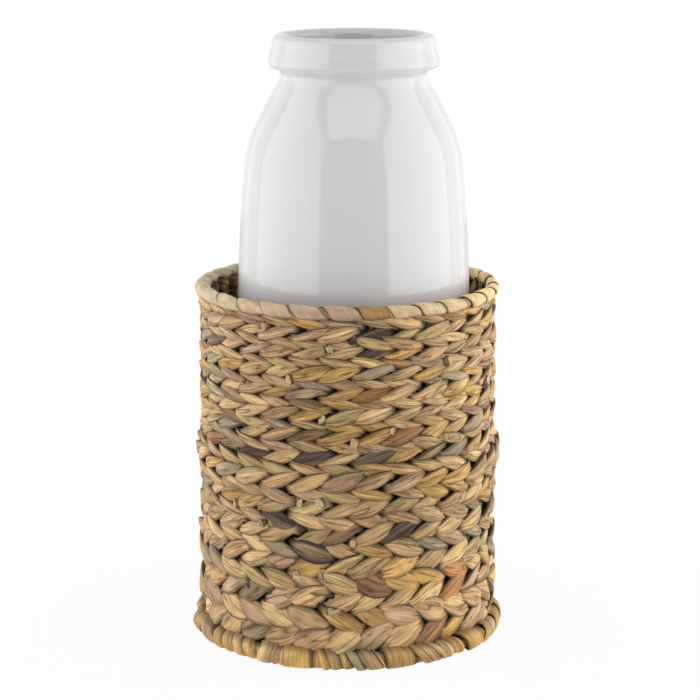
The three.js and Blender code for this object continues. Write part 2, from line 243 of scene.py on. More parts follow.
class StageSettings(bpy.types.PropertyGroup):
    """Camera, lamps and floor."""

    camera_place: FloatVectorProperty(
        name="Camera", description="Place of the camera", default=(0.00155, -1.4, 0.4834),
        size=3, subtype="TRANSLATION", unit="LENGTH",
    )
    camera_dip: bearing("Dip", "How far the camera looks down", 12.259)
    camera_lens: optic("Lens", "Focal length", 115.89)
    camera_sensor: optic("Sensor", "Width of the sensor", 36)
    box_angle: bearing("Soft Box Angle", "Angle of the soft boxes from the camera's side", 88)
    box_distance: length("Soft Box Distance", "Distance of the soft boxes", 0.9)
    box_width: length("Soft Box Width", "Width of each soft box", 2.48)
    box_height: length("Soft Box Height", "Height of each soft box", 1.3)
    box_glow: factor("Soft Box Glow", "Brightness of the soft box on the left", 1.36)
    right_share: factor("Right Share", "Brightness of the right soft box against the left", 1.1)
    top_glow: factor("Top Glow", "Brightness of the box overhead", 0.9)
    under_glow: factor("Under Glow", "Brightness of the lamp that lights the base through the floor", 16)
    high_glow: factor("High Glow", "Brightness of the card overhead, which only gloss mirrors", 1.3)
    back_glow: factor("Back Glow", "Brightness of the card behind, which only gloss mirrors", 0.25)
    ambient: factor("Ambient", "Brightness of the room", 0.24)
    sheen: factor("Sheen", "Brightness of the room where the glaze mirrors it", 0.66)
    floor_colour: tint("Floor", "Colour of the floor", (0.96, 0.96, 0.96))
    floor_radius: length("Floor Radius", "Radius of the floor", 30)
    floor_white: factor("Floor White", "How far the floor shows as plain white", 0.93)
    shade_radius: length("Shade Radius", "Radius under the basket where the floor is in shade", 0.084)
    shade_edge: length("Shade Edge", "Width over which that shade ends", 0.008)


class BasketVaseSettings(bpy.types.PropertyGroup):
    """Everything that the operators read."""

    vase: PointerProperty(name="Vase", description="Outline and glaze", type=VaseSettings)
    weave: PointerProperty(name="Weave", description="Stakes and stems", type=WeaveSettings)
    strip: PointerProperty(name="Strips", description="Rim and foot wraps", type=StripSettings)
    colours: PointerProperty(name="Colours", description="Colours of the stems", type=StemColours)
    stage: PointerProperty(name="Stage", description="Camera, lamps and floor", type=StageSettings)


def linear(colour):
    """Turn a screen colour into the linear colour that shaders take."""
    return Vector(Color(colour).from_srgb_to_scene_linear())


def signed_power(value, power):
    """Power of a number's size, with the number's sign."""
    return math.copysign(abs(value) ** power, value)


def smooth_step(low, high, value):
    """Rise smoothly from 0 at low to 1 at high."""
    share = min(max((value - low) / (high - low), 0), 1)
    return share * share * (3 - 2 * share)


def outward_at(angle):
    """Unit vector away from the axis; angle 0 is the front, -Y, and it grows to the right."""
    return Vector((math.sin(angle), -math.cos(angle), 0))


def on_circle(radius, angle, height):
    """Point at a radius, an angle and a height."""
    return outward_at(angle) * radius + UP * height


def mixed(first, second, share):
    """Mix two tuples of numbers and vectors, field by field."""
    return type(first)(*(a + (b - a) * share for a, b in zip(first, second)))


# Materials


def new_material(name):
    """Make an empty node material with its output."""
    material = bpy.data.materials.new(name)
    material.use_nodes = True
    material.node_tree.nodes.clear()
    return material, material.node_tree


def add_node(tree, kind, inputs, **settings):
    """Add a node, set its options, and fill or link its inputs."""
    node = tree.nodes.new(kind)
    for key, value in settings.items():
        setattr(node, key, value)
    for key, value in inputs.items():
        if isinstance(value, bpy.types.NodeSocket):
            tree.links.new(value, node.inputs[key])
        else:
            node.inputs[key].default_value = value
    return node


def blend_colours(tree, mode, share, first, second):
    """Blend two colours; a colour that isn't linked is a linear vector."""
    node = tree.nodes.new("ShaderNodeMix")
    node.data_type = "RGBA"
    node.blend_type = mode
    colour_inputs = [socket for socket in node.inputs if socket.type == "RGBA"]
    for socket, value in zip([node.inputs[0], *colour_inputs], (share, first, second)):
        if isinstance(value, bpy.types.NodeSocket):
            tree.links.new(value, socket)
        elif isinstance(value, Vector):
            socket.default_value = (*value, 1)
        else:
            socket.default_value = value
    return next(socket for socket in node.outputs if socket.type == "RGBA")


def remap(tree, value, from_low, from_high, to_low, to_high):
    """Map a range of values onto another, clamped."""
    return add_node(tree, "ShaderNodeMapRange", {
        "Value": value, "From Min": from_low, "From Max": from_high, "To Min": to_low, "To Max": to_high,
    }).outputs["Result"]


def calculate(tree, operation, first, second):
    """Work out one number from two."""
    node = tree.nodes.new("ShaderNodeMath")
    node.operation = operation
    for socket, value in zip(node.inputs, (first, second)):
        if isinstance(value, bpy.types.NodeSocket):
            tree.links.new(value, socket)
        else:
            socket.default_value = value
    return node.outputs["Value"]


def stretched_noise(tree, place, scale, detail):
    """Noise whose grain is stretched by a scale for each axis."""
    stretched = add_node(tree, "ShaderNodeMapping", {"Vector": place, "Scale": scale}).outputs["Vector"]
    inputs = {"Vector": stretched, "Scale": 1.0, "Detail": detail, "Roughness": 0.6}
    return add_node(tree, "ShaderNodeTexNoise", inputs).outputs["Fac"]


def plug_surface(tree, shader):
    """Link a shader to the material's output."""
    add_node(tree, "ShaderNodeOutputMaterial", {"Surface": shader})


# Waves of the fibre patterns in a metre, across a stem and along it, and of the stains each way
BROAD_STREAKS = (420, 34, 1)
FINE_STREAKS = (1300, 48, 1)
CREASE_LINES = (520, 26, 1)
STAINS = (95, 95, 95)
PALE_FIBRE = Vector((1.0, 0.76, 0.5))
CREASE_TINT = Vector((0.30, 0.20, 0.14))
STAIN_TINT = Vector((0.62, 0.42, 0.28))
FIBRE_DEPTH = 0.0006


def fibre_material(name, streak, crease, relief, roughness):
    """Dried plant fibre: streaks and fine creases run along the stem over the stem's own colour."""
    material, tree = new_material(name)
    own = add_node(tree, "ShaderNodeAttribute", {}, attribute_name=STEM_COLOUR).outputs["Color"]
    fibre = add_node(tree, "ShaderNodeUVMap", {}, uv_map=FIBRE_MAP).outputs["UV"]
    place = add_node(tree, "ShaderNodeTexCoord", {}).outputs["Object"]

    broad = stretched_noise(tree, fibre, BROAD_STREAKS, detail=3)
    fine = stretched_noise(tree, fibre, FINE_STREAKS, detail=2)
    lines = stretched_noise(tree, fibre, CREASE_LINES, detail=1)
    stains = stretched_noise(tree, place, STAINS, detail=3)

    tone = remap(tree, broad, 0.28, 0.72, 1 - 0.8 * streak, 1 + 0.7 * streak)
    grain = remap(tree, fine, 0.3, 0.7, 1 - 0.5 * streak, 1 + 0.45 * streak)
    shade = calculate(tree, "MULTIPLY", tone, grain)
    streaked = add_node(
        tree, "ShaderNodeVectorMath", {0: own, "Scale": shade}, operation="SCALE",
    ).outputs["Vector"]

    pale_share = remap(tree, lines, 0.52, 0.64, 0, 0.18 * streak)
    streaked = blend_colours(tree, "ADD", pale_share, streaked, PALE_FIBRE)
    from_line = calculate(tree, "ABSOLUTE", calculate(tree, "SUBTRACT", lines, 0.5), 0)
    line = remap(tree, from_line, 0.0, 0.035, 1, 0)
    line_share = calculate(tree, "MULTIPLY", line, crease)
    creased = blend_colours(tree, "MULTIPLY", line_share, streaked, CREASE_TINT)
    stain_share = remap(tree, stains, 0.55, 0.8, 0, 0.5)
    stained = blend_colours(tree, "MULTIPLY", stain_share, creased, STAIN_TINT)

    ridges = calculate(tree, "ADD", broad, calculate(tree, "MULTIPLY", fine, 0.4))
    height = calculate(tree, "SUBTRACT", ridges, line)
    bump = add_node(tree, "ShaderNodeBump", {"Strength": relief, "Distance": FIBRE_DEPTH, "Height": height})
    gloss = remap(tree, broad, 0.3, 0.7, roughness + 0.08, roughness - 0.08)
    shader = add_node(tree, "ShaderNodeBsdfPrincipled", {
        "Base Color": stained, "Roughness": gloss, "Specular IOR Level": 0.35,
        "Normal": bump.outputs["Normal"],
    })
    plug_surface(tree, shader.outputs["BSDF"])
    return material


# Waves of the glaze in a metre, and the depth of its two kinds of relief
GLAZE_RIPPLES = (30, 30, 18)
RIPPLE_DEPTH = 0.002
CREASE_DEPTH = 0.0005


def glaze_material(vase):
    """White glaze, a little uneven, painted lighter and cooler just above the basket's rim and painted
    darker inside, and bare clay under the foot ring.
    """
    material, tree = new_material("white_glaze")
    place = add_node(tree, "ShaderNodeTexCoord", {}).outputs["Object"]
    height = add_node(tree, "ShaderNodeSeparateXYZ", {"Vector": place}).outputs["Z"]
    ripple = stretched_noise(tree, place, GLAZE_RIPPLES, detail=2)
    inside = add_node(tree, "ShaderNodeAttribute", {}, attribute_name=INSIDE).outputs["Fac"]

    rim_top = RIM_BOX[1].z
    # Painted light: just above the basket's rim the glaze is paler and cooler, lifting the shade and warm
    # bounce there
    light_painted_share = remap(tree, height, rim_top, rim_top + vase.light_painted_fade, 1, 0)
    light_painted = blend_colours(tree, "MIX", light_painted_share, linear(vase.glaze), linear(vase.light_painted))
    # Painted shade: the glaze inside the vase is darker
    lit_and_shaded_glaze = blend_colours(tree, "MIX", inside, light_painted, linear(vase.shaded_inside))
    bare_top = VASE_BOX[0].z + vase.bare_height
    is_glazed = remap(tree, height, bare_top, bare_top + vase.glaze_edge, 0, 1)
    colour = blend_colours(tree, "MIX", is_glazed, linear(vase.clay), lit_and_shaded_glaze)
    gloss = remap(tree, is_glazed, 0, 1, 0.75, 0.1)
    uneven = add_node(tree, "ShaderNodeBump", {
        "Strength": 0.05, "Distance": RIPPLE_DEPTH, "Height": ripple,
    })
    crease = VASE_BOX[1].z - vase.crease_drop
    from_crease = calculate(tree, "ABSOLUTE", calculate(tree, "SUBTRACT", height, crease), 0)
    groove = remap(tree, from_crease, 0, vase.crease_width, 0, 1)
    bump = add_node(tree, "ShaderNodeBump", {
        "Strength": 0.5, "Distance": CREASE_DEPTH, "Height": groove, "Normal": uneven.outputs["Normal"],
    })
    shader = add_node(tree, "ShaderNodeBsdfPrincipled", {
        "Base Color": colour, "Roughness": gloss, "IOR": 1.65, "Normal": bump.outputs["Normal"],
    })
    plug_surface(tree, shader.outputs["BSDF"])
    return material


def seen_plainly(tree):
    """1 for rays from the camera, from gloss and through glass, else 0."""
    path = add_node(tree, "ShaderNodeLightPath", {}).outputs
    shiny = calculate(tree, "MAXIMUM", path["Is Glossy Ray"], path["Is Transmission Ray"])
    return calculate(tree, "MAXIMUM", path["Is Camera Ray"], shiny)


# From where to where the floor's shadow fades to plain white, in metres from the middle
SHADOW_REACH = (0.12, 0.9)


def floor_material(stage):
    """Pale floor that shows nearly white and keeps the shadow, and is clear from below."""
    material, tree = new_material("pale_floor")
    paper = add_node(tree, "ShaderNodeBsdfDiffuse", {"Color": (*linear(stage.floor_colour), 1)})
    path = add_node(tree, "ShaderNodeLightPath", {}).outputs
    glow = remap(tree, path["Is Glossy Ray"], 0, 1, 1, stage.sheen)
    white = add_node(tree, "ShaderNodeEmission", {"Color": (1, 1, 1, 1), "Strength": glow})
    place = add_node(tree, "ShaderNodeTexCoord", {}).outputs["Object"]
    away = add_node(tree, "ShaderNodeVectorMath", {0: place}, operation="LENGTH").outputs["Value"]
    whiteness = remap(tree, away, *SHADOW_REACH, stage.floor_white, 1)
    in_open = remap(tree, away, stage.shade_radius, stage.shade_radius + stage.shade_edge, 0, 1)
    share = calculate(tree, "MULTIPLY", seen_plainly(tree), calculate(tree, "MULTIPLY", whiteness, in_open))
    shader = add_node(tree, "ShaderNodeMixShader", {
        0: share, 1: paper.outputs["BSDF"], 2: white.outputs["Emission"],
    })
    below = add_node(tree, "ShaderNodeNewGeometry", {}).outputs["Backfacing"]
    clear = add_node(tree, "ShaderNodeBsdfTransparent", {})
    from_above = add_node(tree, "ShaderNodeMixShader", {
        0: below, 1: shader.outputs["Shader"], 2: clear.outputs["BSDF"],
    })
    plug_surface(tree, from_above.outputs["Shader"])
    return material


# Meshes


def new_bmesh():
    """Start a bmesh with the colour and the fibre map that the materials read."""
    bm = bmesh.new()
    bm.verts.layers.float_color.new(STEM_COLOUR)
    bm.loops.layers.uv.new(FIBRE_MAP)
    return bm


def lay_tube(bm, section, steps, sides, run, girth, first=0):
    """Wrap a grid into a tube: section(share along) gives ring(share round), a point and its colour.

    run and girth measure the fibre pattern, and first is where it starts, so that no two stems look alike.
    """
    colours = bm.verts.layers.float_color[STEM_COLOUR]
    fibres = bm.loops.layers.uv[FIBRE_MAP]
    before = len(bm.faces)
    grid = bmesh.ops.create_grid(bm, x_segments=sides, y_segments=steps, size=0.5, calc_uvs=True)
    verts = grid["verts"]
    for step in range(steps + 1):
        ring = section(step / steps)
        for side in range(sides + 1):
            vert = verts[step * (sides + 1) + side]
            vert.co, colour = ring(side / sides)
            vert[colours] = (*colour, 1)
    bm.faces.ensure_lookup_table()
    for face in bm.faces[before:]:
        for loop in face.loops:
            share = loop[fibres].uv
            loop[fibres].uv = (share.x * girth, share.y * run + first)


def close_seams(bm):
    """Merge the seams and turn the faces outwards."""
    bmesh.ops.remove_doubles(bm, verts=bm.verts, dist=MERGE_DISTANCE)
    bmesh.ops.recalc_face_normals(bm, faces=bm.faces)


def finish_piece(name, bm, material, body, slot, *nodes):
    """Make a piece of a bmesh, with its material, its body, and the CAD nodes that it stands for."""
    mesh = bpy.data.meshes.new(name)
    bm.to_mesh(mesh)
    bm.free()
    mesh.materials.append(material)
    mesh.shade_smooth()
    piece = bpy.data.objects.new(name, mesh)
    bpy.context.scene.collection.objects.link(piece)
    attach(piece, body)
    if nodes:
        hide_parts(*nodes)
    return piece


def oval(middle, across, upward, half_width, half_thick, colour):
    """Ring of an oval section in one colour."""

    def ring(share):
        angle = 2 * math.pi * share
        point = middle + across * (half_width * math.cos(angle))
        return point + upward * (half_thick * math.sin(angle)), colour

    return ring


def round_rod(start, end, radius, colour, wobble, seed):
    """Section of a round cane from one point to another, a little crooked, closed at both ends."""
    along = (end - start).normalized()
    side = along.orthogonal().normalized()
    other = along.cross(side)

    def section(share):
        inset = 0 if share in (0, 1) else 1
        middle = start.lerp(end, share)
        bend = noise.noise(Vector((seed * 3.1, share * 4, 0))) * wobble * math.sin(math.pi * share)
        middle = middle + side * bend
        thick = inset * radius * (1 + 0.06 * noise.noise(Vector((seed * 1.7, share * 9, 5))))
        return oval(middle, side, other, thick, thick, colour)

    return section


def round_hoop(circle, height, radius, colour):
    """Section of a cane hoop."""

    def section(share):
        angle = 2 * math.pi * share
        return oval(on_circle(circle, angle, height), outward_at(angle), UP, radius, radius, colour)

    return section


# The basket's own measures, from the frame

Basket = namedtuple(
    "Basket",
    "rim_height rim_outside rim_hoop rim_stakes foot_height foot_outside foot_hoop foot_stakes",
)
Course = namedtuple("Course", "number height pitch circle swell lean low")


def measure_basket(settings):
    """Work out the hoops' and stakes' circles and heights from the boxes of the two wraps."""
    weave = settings.weave
    rim_outside = (RIM_BOX[1].z - RIM_BOX[0].z) / 2
    rim_hoop = (RIM_BOX[1].x - RIM_BOX[0].x) / 2 - rim_outside
    foot_outside = (FOOT_BOX[1].z + settings.strip.foot_flat) / 2
    foot_hoop = (FOOT_BOX[1].x - FOOT_BOX[0].x) / 2 - foot_outside
    return Basket(
        rim_height=RIM_BOX[1].z - rim_outside,
        rim_outside=rim_outside,
        rim_hoop=rim_hoop,
        rim_stakes=rim_hoop - weave.stand_off,
        foot_height=FOOT_BOX[1].z - foot_outside,
        foot_outside=foot_outside,
        foot_hoop=foot_hoop,
        foot_stakes=foot_hoop - weave.stand_off,
    )


def stake_angle(weave, stake):
    """Angle of a stake, or of a place between two, counted to the right from the first."""
    return weave.first_stake + 2 * math.pi * stake / weave.stakes


def stake_circle(basket, height):
    """Radius of the stakes' circle at a height."""
    up = (height - basket.foot_height) / (basket.rim_height - basket.foot_height)
    return basket.foot_stakes + (basket.rim_stakes - basket.foot_stakes) * up


def measure_course(settings, basket, number, node):
    """Work out a course's place and form; odd ones fall to the right, even ones rise."""
    weave = settings.weave
    low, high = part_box(node)
    height = (low.z + high.z) / 2
    from_waist = (height - weave.waist_height) / weave.waist_spread
    return Course(
        number=number,
        height=height,
        pitch=high.z - low.z + weave.clearance,
        circle=stake_circle(basket, height),
        swell=weave.waist_swell * math.exp(-from_waist ** 2),
        lean=1 if number % 2 else -1,
        low=smooth_step(weave.low_start, weave.low_full, height),
    )


# Stems of the weave

Stroke = namedtuple(
    "Stroke",
    "width thickness lift bulge slant shift twist shingle seed crease dent"
    " colour stripe stripe_share stripe_place",
)
# Colours of the stems, and the share of each where the basket is yellow and where it is pink
PLAIN_COLOURS = ("straw", "ochre", "tan", "rose", "sage", "rust", "brown", "plum")
YELLOW_SHARES = (0.40, 0.21, 0.25, 0.05, 0.05, 0.02, 0.015, 0.005)
PINK_SHARES = (0.24, 0.06, 0.43, 0.14, 0.08, 0.01, 0.03, 0.01)
# Strokes that stand out: by course and stake, the colour, then the stripe's colour, strength and place
NAMED_STROKES = {
    (2, 1): ("plum", "brown", 0.9, 0.9), (4, 1): ("plum", "tan", 0.8, 0.8),
    (12, 1): ("ochre", "plum", 0.95, 0.75), (12, 2): ("rust", "brown", 0.8, 1.1),
    (12, 5): ("sage", "plum", 0.7, 0.8), (12, 29): ("brown", "rust", 0.6, 1.6),
    (13, 29): ("tan", "plum", 0.95, 0.8), (14, 1): ("plum", "sage", 0.8, 2.3),
    (14, 25): ("rust", "brown", 0.4, 0.6), (14, 27): ("plum", "brown", 0.9, 0.9),
    (14, 29): ("plum", "tan", 0.8, 0.75), (19, 5): ("tan", "plum", 0.8, 1.4),
    (19, 28): ("plum", "tan", 0.8, 0.8), (20, 0): ("brown", "rose", 0.5, 2.0),
    (20, 2): ("plum", "brown", 0.9, 0.9), (23, 1): ("brown", "rust", 0.6, 1.8),
    (24, 28): ("rose", "brown", 0.5, 0.9), (26, 1): ("rose", "brown", 0.5, 0.7),
    (26, 3): ("brown", "rust", 0.7, 1.5), (26, 5): ("rose", "brown", 0.6, 1.0),
    (26, 29): ("rose", "brown", 0.5, 2.2),
}


def yellowness(basket, angle, height):
    """The stems are yellower to the right and lower down."""
    up = height / basket.rim_height
    patch = noise.noise(Vector((1.3 * math.cos(angle), 1.3 * math.sin(angle), 9 * up)))
    return min(max(0.62 + 0.28 * math.sin(angle) - 0.38 * (up - 0.5) + 0.35 * patch, 0), 1)


def draw_stroke(settings, basket, course, stake):
    """Draw the form and colour of the stroke that one stem makes over one stake."""
    weave = settings.weave
    draw = random.Random(weave.seed + 1000 * course.number + stake)
    angle = stake_angle(weave, stake)
    sideways = math.remainder(angle, 2 * math.pi)
    yellow = yellowness(basket, angle, course.height)
    shares = [y * yellow + p * (1 - yellow) for y, p in zip(YELLOW_SHARES, PINK_SHARES)]
    name = draw.choices(PLAIN_COLOURS, shares)[0]
    is_dark = name in ("plum", "brown")
    stripe_name = draw.choice(("straw", "ochre", "tan") if is_dark else ("brown", "plum", "rust", "ochre"))
    low, lean = course.low, course.lean

    # Stems are darker in front (painted shade) and brighter on the right (painted light); low courses are
    # brighter, the more so on the right, and those that fall are wider and lie on top
    painted_front_shade = weave.painted_front_shade * (1 - 0.6 * low) * math.exp(-(sideways / weave.front_spread) ** 2)
    bright = draw.uniform(0.88, 1.24) * (1 - painted_front_shade) * (1 + 0.16 * low)
    bright *= 1 + (0.05 + 0.14 * low) * math.sin(angle)
    wider = (0.11 - 0.06 * low) * lean + low * (0.22 if lean > 0 else -0.12)
    over = lean * (2 * low - 1) * (0.3 + 2.7 * low)

    stripe_share = draw.choice((0.5, 0.8, 0.9) if is_dark else (0, 0, 0, 0.2, 0.4, 0.75))
    stripe_place = draw.uniform(0.35, 2.8)
    if (course.number, stake) in NAMED_STROKES:
        name, stripe_name, stripe_share, stripe_place = NAMED_STROKES[course.number, stake]
    tuck = weave.tuck if course.number == 1 else 0
    return Stroke(
        width=weave.width_share * course.pitch * draw.triangular(0.72, 1.3, 1.0) * (1 + wider),
        thickness=weave.thickness / 2 * draw.uniform(0.85, 1.2),
        lift=weave.stray * course.pitch * draw.triangular(-1, 1) + tuck,
        bulge=draw.uniform(-0.0008, 0.0009) + weave.proud * over,
        slant=draw.triangular(0.6, 1.4, 1.0),
        shift=draw.triangular(-0.17, 0.17),
        twist=draw.triangular(-0.4, 0.4),
        shingle=weave.shingle * draw.uniform(-0.6, 2.2),
        seed=draw.uniform(0, 90),
        crease=draw.uniform(0.7, 2.4),
        dent=draw.choice((0.04, 0.08, 0.14, 0.24)),
        colour=linear(getattr(settings.colours, name)) * bright,
        stripe=linear(getattr(settings.colours, stripe_name)),
        stripe_share=stripe_share,
        stripe_place=stripe_place,
    )


def twine_phase(weave, offset):
    """Phase of a stem round its stake: 0 in front, a quarter turn where it passes between two stakes."""
    share = abs(offset)
    quarters = share / weave.reach if share < weave.reach else 1 + (share - weave.reach) / (1 - weave.reach)
    return math.copysign(quarters * math.pi / 2, offset)


# Painted shade on a stem: how dark it is in the gaps, along its edges, in its crease and where it lies
# behind; and how mottled it is, which is its own colour
GAP_PAINTED_SHADE = 0.9
EDGE_PAINTED_SHADE = 0.94
EDGE_POWER = 3.3
CREASE_PAINTED_SHADE = 0.9
BEHIND_PAINTED_SHADE = 0.75
MOTTLE = 0.34
# How uneven its section is, and half the angles round it that its crease and its stripe take up
RIDGE = 0.09
CREASE_SPREAD = 0.32
STRIPE_SPREAD = 0.3
# How far along it, in stakes, its direction is measured
AHEAD = 0.06


def twined_stem(settings, basket, course, strand):
    """Section of one of the two stems of a course, which pass each other between every two stakes.

    The stem starts and ends at the back of the basket, where the other one covers it.
    """
    weave = settings.weave
    strokes = [draw_stroke(settings, basket, course, stake) for stake in range(strand, weave.stakes, 2)]
    rise = course.lean * weave.rise_share * course.pitch
    edge_room = min(basket.rim_height - course.height, course.height - basket.foot_height)
    wander = weave.wander * smooth_step(0.004, 0.03, edge_room)
    inner_width = max(weave.inner_width, weave.inner_share * course.pitch)

    def place(turn):
        """Middle of the stem, its stroke, and how far it is from the stroke's middle, in stakes."""
        crest = round((turn - strand) / 2)
        offset = turn - strand - 2 * crest
        beside = crest + (1 if offset > 0 else -1)
        share = smooth_step(0.8, 1.0, abs(offset)) / 2
        stroke = mixed(strokes[crest % len(strokes)], strokes[beside % len(strokes)], share)
        angle = stake_angle(weave, turn)
        offset -= stroke.shift * (1 - 2 * share)
        phase = twine_phase(weave, offset)
        front = signed_power(math.cos(phase), weave.bow)
        bulge = course.swell + stroke.bulge - stroke.shingle * offset
        radius = course.circle + weave.swing * front + max(front, 0) * bulge
        stray = noise.noise(Vector((1.6 * math.cos(angle), 1.6 * math.sin(angle), course.height * 22)))
        height = course.height - rise * stroke.slant * math.sin(phase) + stroke.lift + wander * stray
        return on_circle(radius, angle, height), stroke, offset

    def section(share):
        turn = share * weave.stakes + weave.stakes // 2 + strand
        middle, stroke, offset = place(turn)
        along = (place(turn + AHEAD)[0] - place(turn - AHEAD)[0]).normalized()
        outward = outward_at(stake_angle(weave, turn))
        outward = (outward - along * outward.dot(along)).normalized()
        across = along.cross(outward)
        tilt = Matrix.Rotation(stroke.twist, 3, along)
        outward = tilt @ outward
        across = tilt @ across
        away = abs(offset)
        leaf = max(1 - (away / weave.reach) ** weave.leaf, 0)
        inner = max(1 - ((1 - away) / weave.inner_reach) ** 2, 0)
        half_width = max(stroke.width * leaf, inner_width * inner, weave.thinnest)
        half_thick = stroke.thickness * (0.7 + 0.3 * leaf)
        in_gap = smooth_step(0.5, 0.76, away) - 0.6 * smooth_step(0.84, 0.98, away)
        is_front = smooth_step(0.9, 0.65, away)
        is_behind = smooth_step(0.58, 0.78, away)

        def ring(share_round):
            angle = 2 * math.pi * share_round
            edge = abs(math.cos(angle)) ** EDGE_POWER
            flat = signed_power(math.cos(angle), weave.flatness)
            deep = signed_power(math.sin(angle), weave.flatness)
            ridge = noise.noise(Vector((2.1 * flat, 2.1 * deep, 0.7 * turn + stroke.seed)))
            mottle = noise.noise(Vector((1.4 * flat, 2.6 * turn, stroke.seed)))
            dent = stroke.dent * math.exp(-((angle - stroke.crease) / CREASE_SPREAD) ** 2)
            swell = 1 + RIDGE * ridge
            point = middle + across * (half_width * flat * swell)
            point += outward * (half_thick * deep * (swell - dent))
            from_stripe = (angle - stroke.stripe_place) / STRIPE_SPREAD
            stripe = stroke.stripe_share * is_front * math.exp(-from_stripe ** 2)
            colour = stroke.colour.lerp(stroke.stripe, stripe)
            # Painted shade in the gaps, along the edges, in the crease and behind; the mottle and the
            # stripe are the stem's own colour
            shade = (1 - GAP_PAINTED_SHADE * in_gap) * (1 - EDGE_PAINTED_SHADE * edge) * (1 - CREASE_PAINTED_SHADE * dent)
            shade *= (1 + MOTTLE * mottle) * (1 - BEHIND_PAINTED_SHADE * is_behind * max(deep, 0))
            return point, colour * shade

        return ring

    return section


# Strips wound round the rim and the foot

Turn = namedtuple("Turn", "shift width end lift crown shear seam split_left split_right left middle right")
# Place across a turn, past its edge, for a split that isn't there
NO_SPLIT = 0.6
# Share of a turn over which it changes into the next one
TURN_CHANGE = 0.12
# How square a strip's edges are, how deep its grain is, and how ragged its edges are
EDGE_SQUARE = 8
GRAIN_DEPTH = 0.00022
RAGGED = 0.0006
# How much higher a turn's right edge stays over the floor, so that no two turns share a face there
FLOOR_TILT = 0.0006


def shown_end(strip, width):
    """Place across a turn, from -0.5 to 0.5, where the next turn comes to lie over it."""
    return 1 / ((1 + strip.overlap) * width) - 0.5


def find_lobe(turn, side):
    """How far across its lobe a place of a turn lies, and the lobe's colour."""
    low, high, colour = max(turn.split_left, -0.5), min(turn.split_right, turn.end), turn.middle
    if side < turn.split_left:
        low, high, colour = -0.5, turn.split_left, turn.left
    elif side >= turn.split_right:
        low, high, colour = turn.split_right, turn.end, turn.right
    return (side - low) / (high - low), colour


def wound_strip(settings, circle, height, outside, turns, start, floor):
    """Section of a flat strip that is wound round a hoop, one turn for each gap between two stakes.

    Painted shade darkens it where it meets the weave, which is on the side where the turns start, and along
    the edges of its turns.
    """
    weave, strip = settings.weave, settings.strip
    width = circle * 2 * math.pi / weave.stakes * (1 + strip.overlap)
    middle_depth = outside - strip.thickness / 2 - strip.crown
    weave_side = 1 if math.sin(start) > 0 else -1

    def section(share):
        wound = share * weave.stakes
        near = round(wound)
        blend = 0.5 + 0.5 * max(-1, min(1, (wound - near) / TURN_CHANGE))
        turn = mixed(turns[(near - 1) % weave.stakes], turns[near % weave.stakes], blend)
        phase = start - 2 * math.pi * wound
        lean = turn.shear * math.sin(phase) * outside / circle
        angle = stake_angle(weave, wound + 0.5) + turn.shift + lean

        def ring(share_round):
            side = 0.5 - 2 * share_round if share_round < 0.5 else 2 * share_round - 1.5
            face = 1 if share_round < 0.5 else -1
            thick = 0.5 * face * strip.thickness * (1 - abs(2 * side) ** EDGE_SQUARE)
            across, colour = find_lobe(turn, side)
            rounded = math.sin(math.pi * min(max(across, 0), 1)) ** 0.6
            grain = noise.noise(Vector((side * 9, wound * 2.3, 3.0)))
            depth = middle_depth + thick + turn.lift + turn.crown * rounded
            depth += GRAIN_DEPTH * grain - strip.shingle * side
            ragged = RAGGED * noise.noise(Vector((wound * 5, side * 2, 8.0)))
            at = angle + (side * width * turn.width + ragged) / circle
            lowest = floor + FLOOR_TILT * (side + 0.5) + 0.25 * strip.thickness * (1 - face)
            up = max(height + depth * math.sin(phase), lowest)
            # Painted shade: dark seams along each turn's edges and where the strip meets the weave; the
            # mottle is the strip's own colour
            seam = math.exp(-(across / turn.seam) ** 2) + math.exp(-((1 - across) / turn.seam) ** 2)
            mottle = noise.noise(Vector((side * 3.5, wound * 6, 5.0)))
            shaded_by_weave = smooth_step(0.5, 0.95, weave_side * math.sin(phase))
            shade = (1 - strip.seam_painted_shade * min(seam, 1)) * (1 + strip.mottle * mottle)
            shade *= 1 - strip.tuck_painted_shade * shaded_by_weave
            return on_circle(circle + depth * math.cos(phase), at, up), colour * shade

        return ring

    return section


def wind_wrap(name, settings, section, girth, material, node):
    """Make a wrap of its strip's section."""
    weave, strip = settings.weave, settings.strip
    bm = new_bmesh()
    run = strip.turn_run * weave.stakes
    lay_tube(bm, section, strip.steps * weave.stakes, strip.sides, run, girth)
    close_seams(bm)
    finish_piece(name, bm, material, "basket", "strip", node)


# Operators

# Strips of a soft box as the glaze mirrors them: each one's end, as a share of the width, and its glow
MIRRORED_STRIPS = ((0.633, 1), (0.69, 0.93), (0.75, 0.8), (0.843, 0.6), (1, 0.36))
# The other lamps and cards: where each one is, what it faces, its width and its height
TOP_BOX = (Vector((0, -0.1, 1.5)), Vector((0, 0, 0.2)), 0.9, 0.7)
HIGH_CARD = (Vector((0, -1, 1.5)), Vector((0, -1, 0)), 1.5, 1.0)
BACK_CARD = (Vector((0, 1.8, 0.9)), Vector((0, 0, 0.9)), 3.2, 1.8)
UNDER_LAMP = (Vector((0, 0, -0.4)), Vector((0, 0, 0)), 0.1, 0.1)


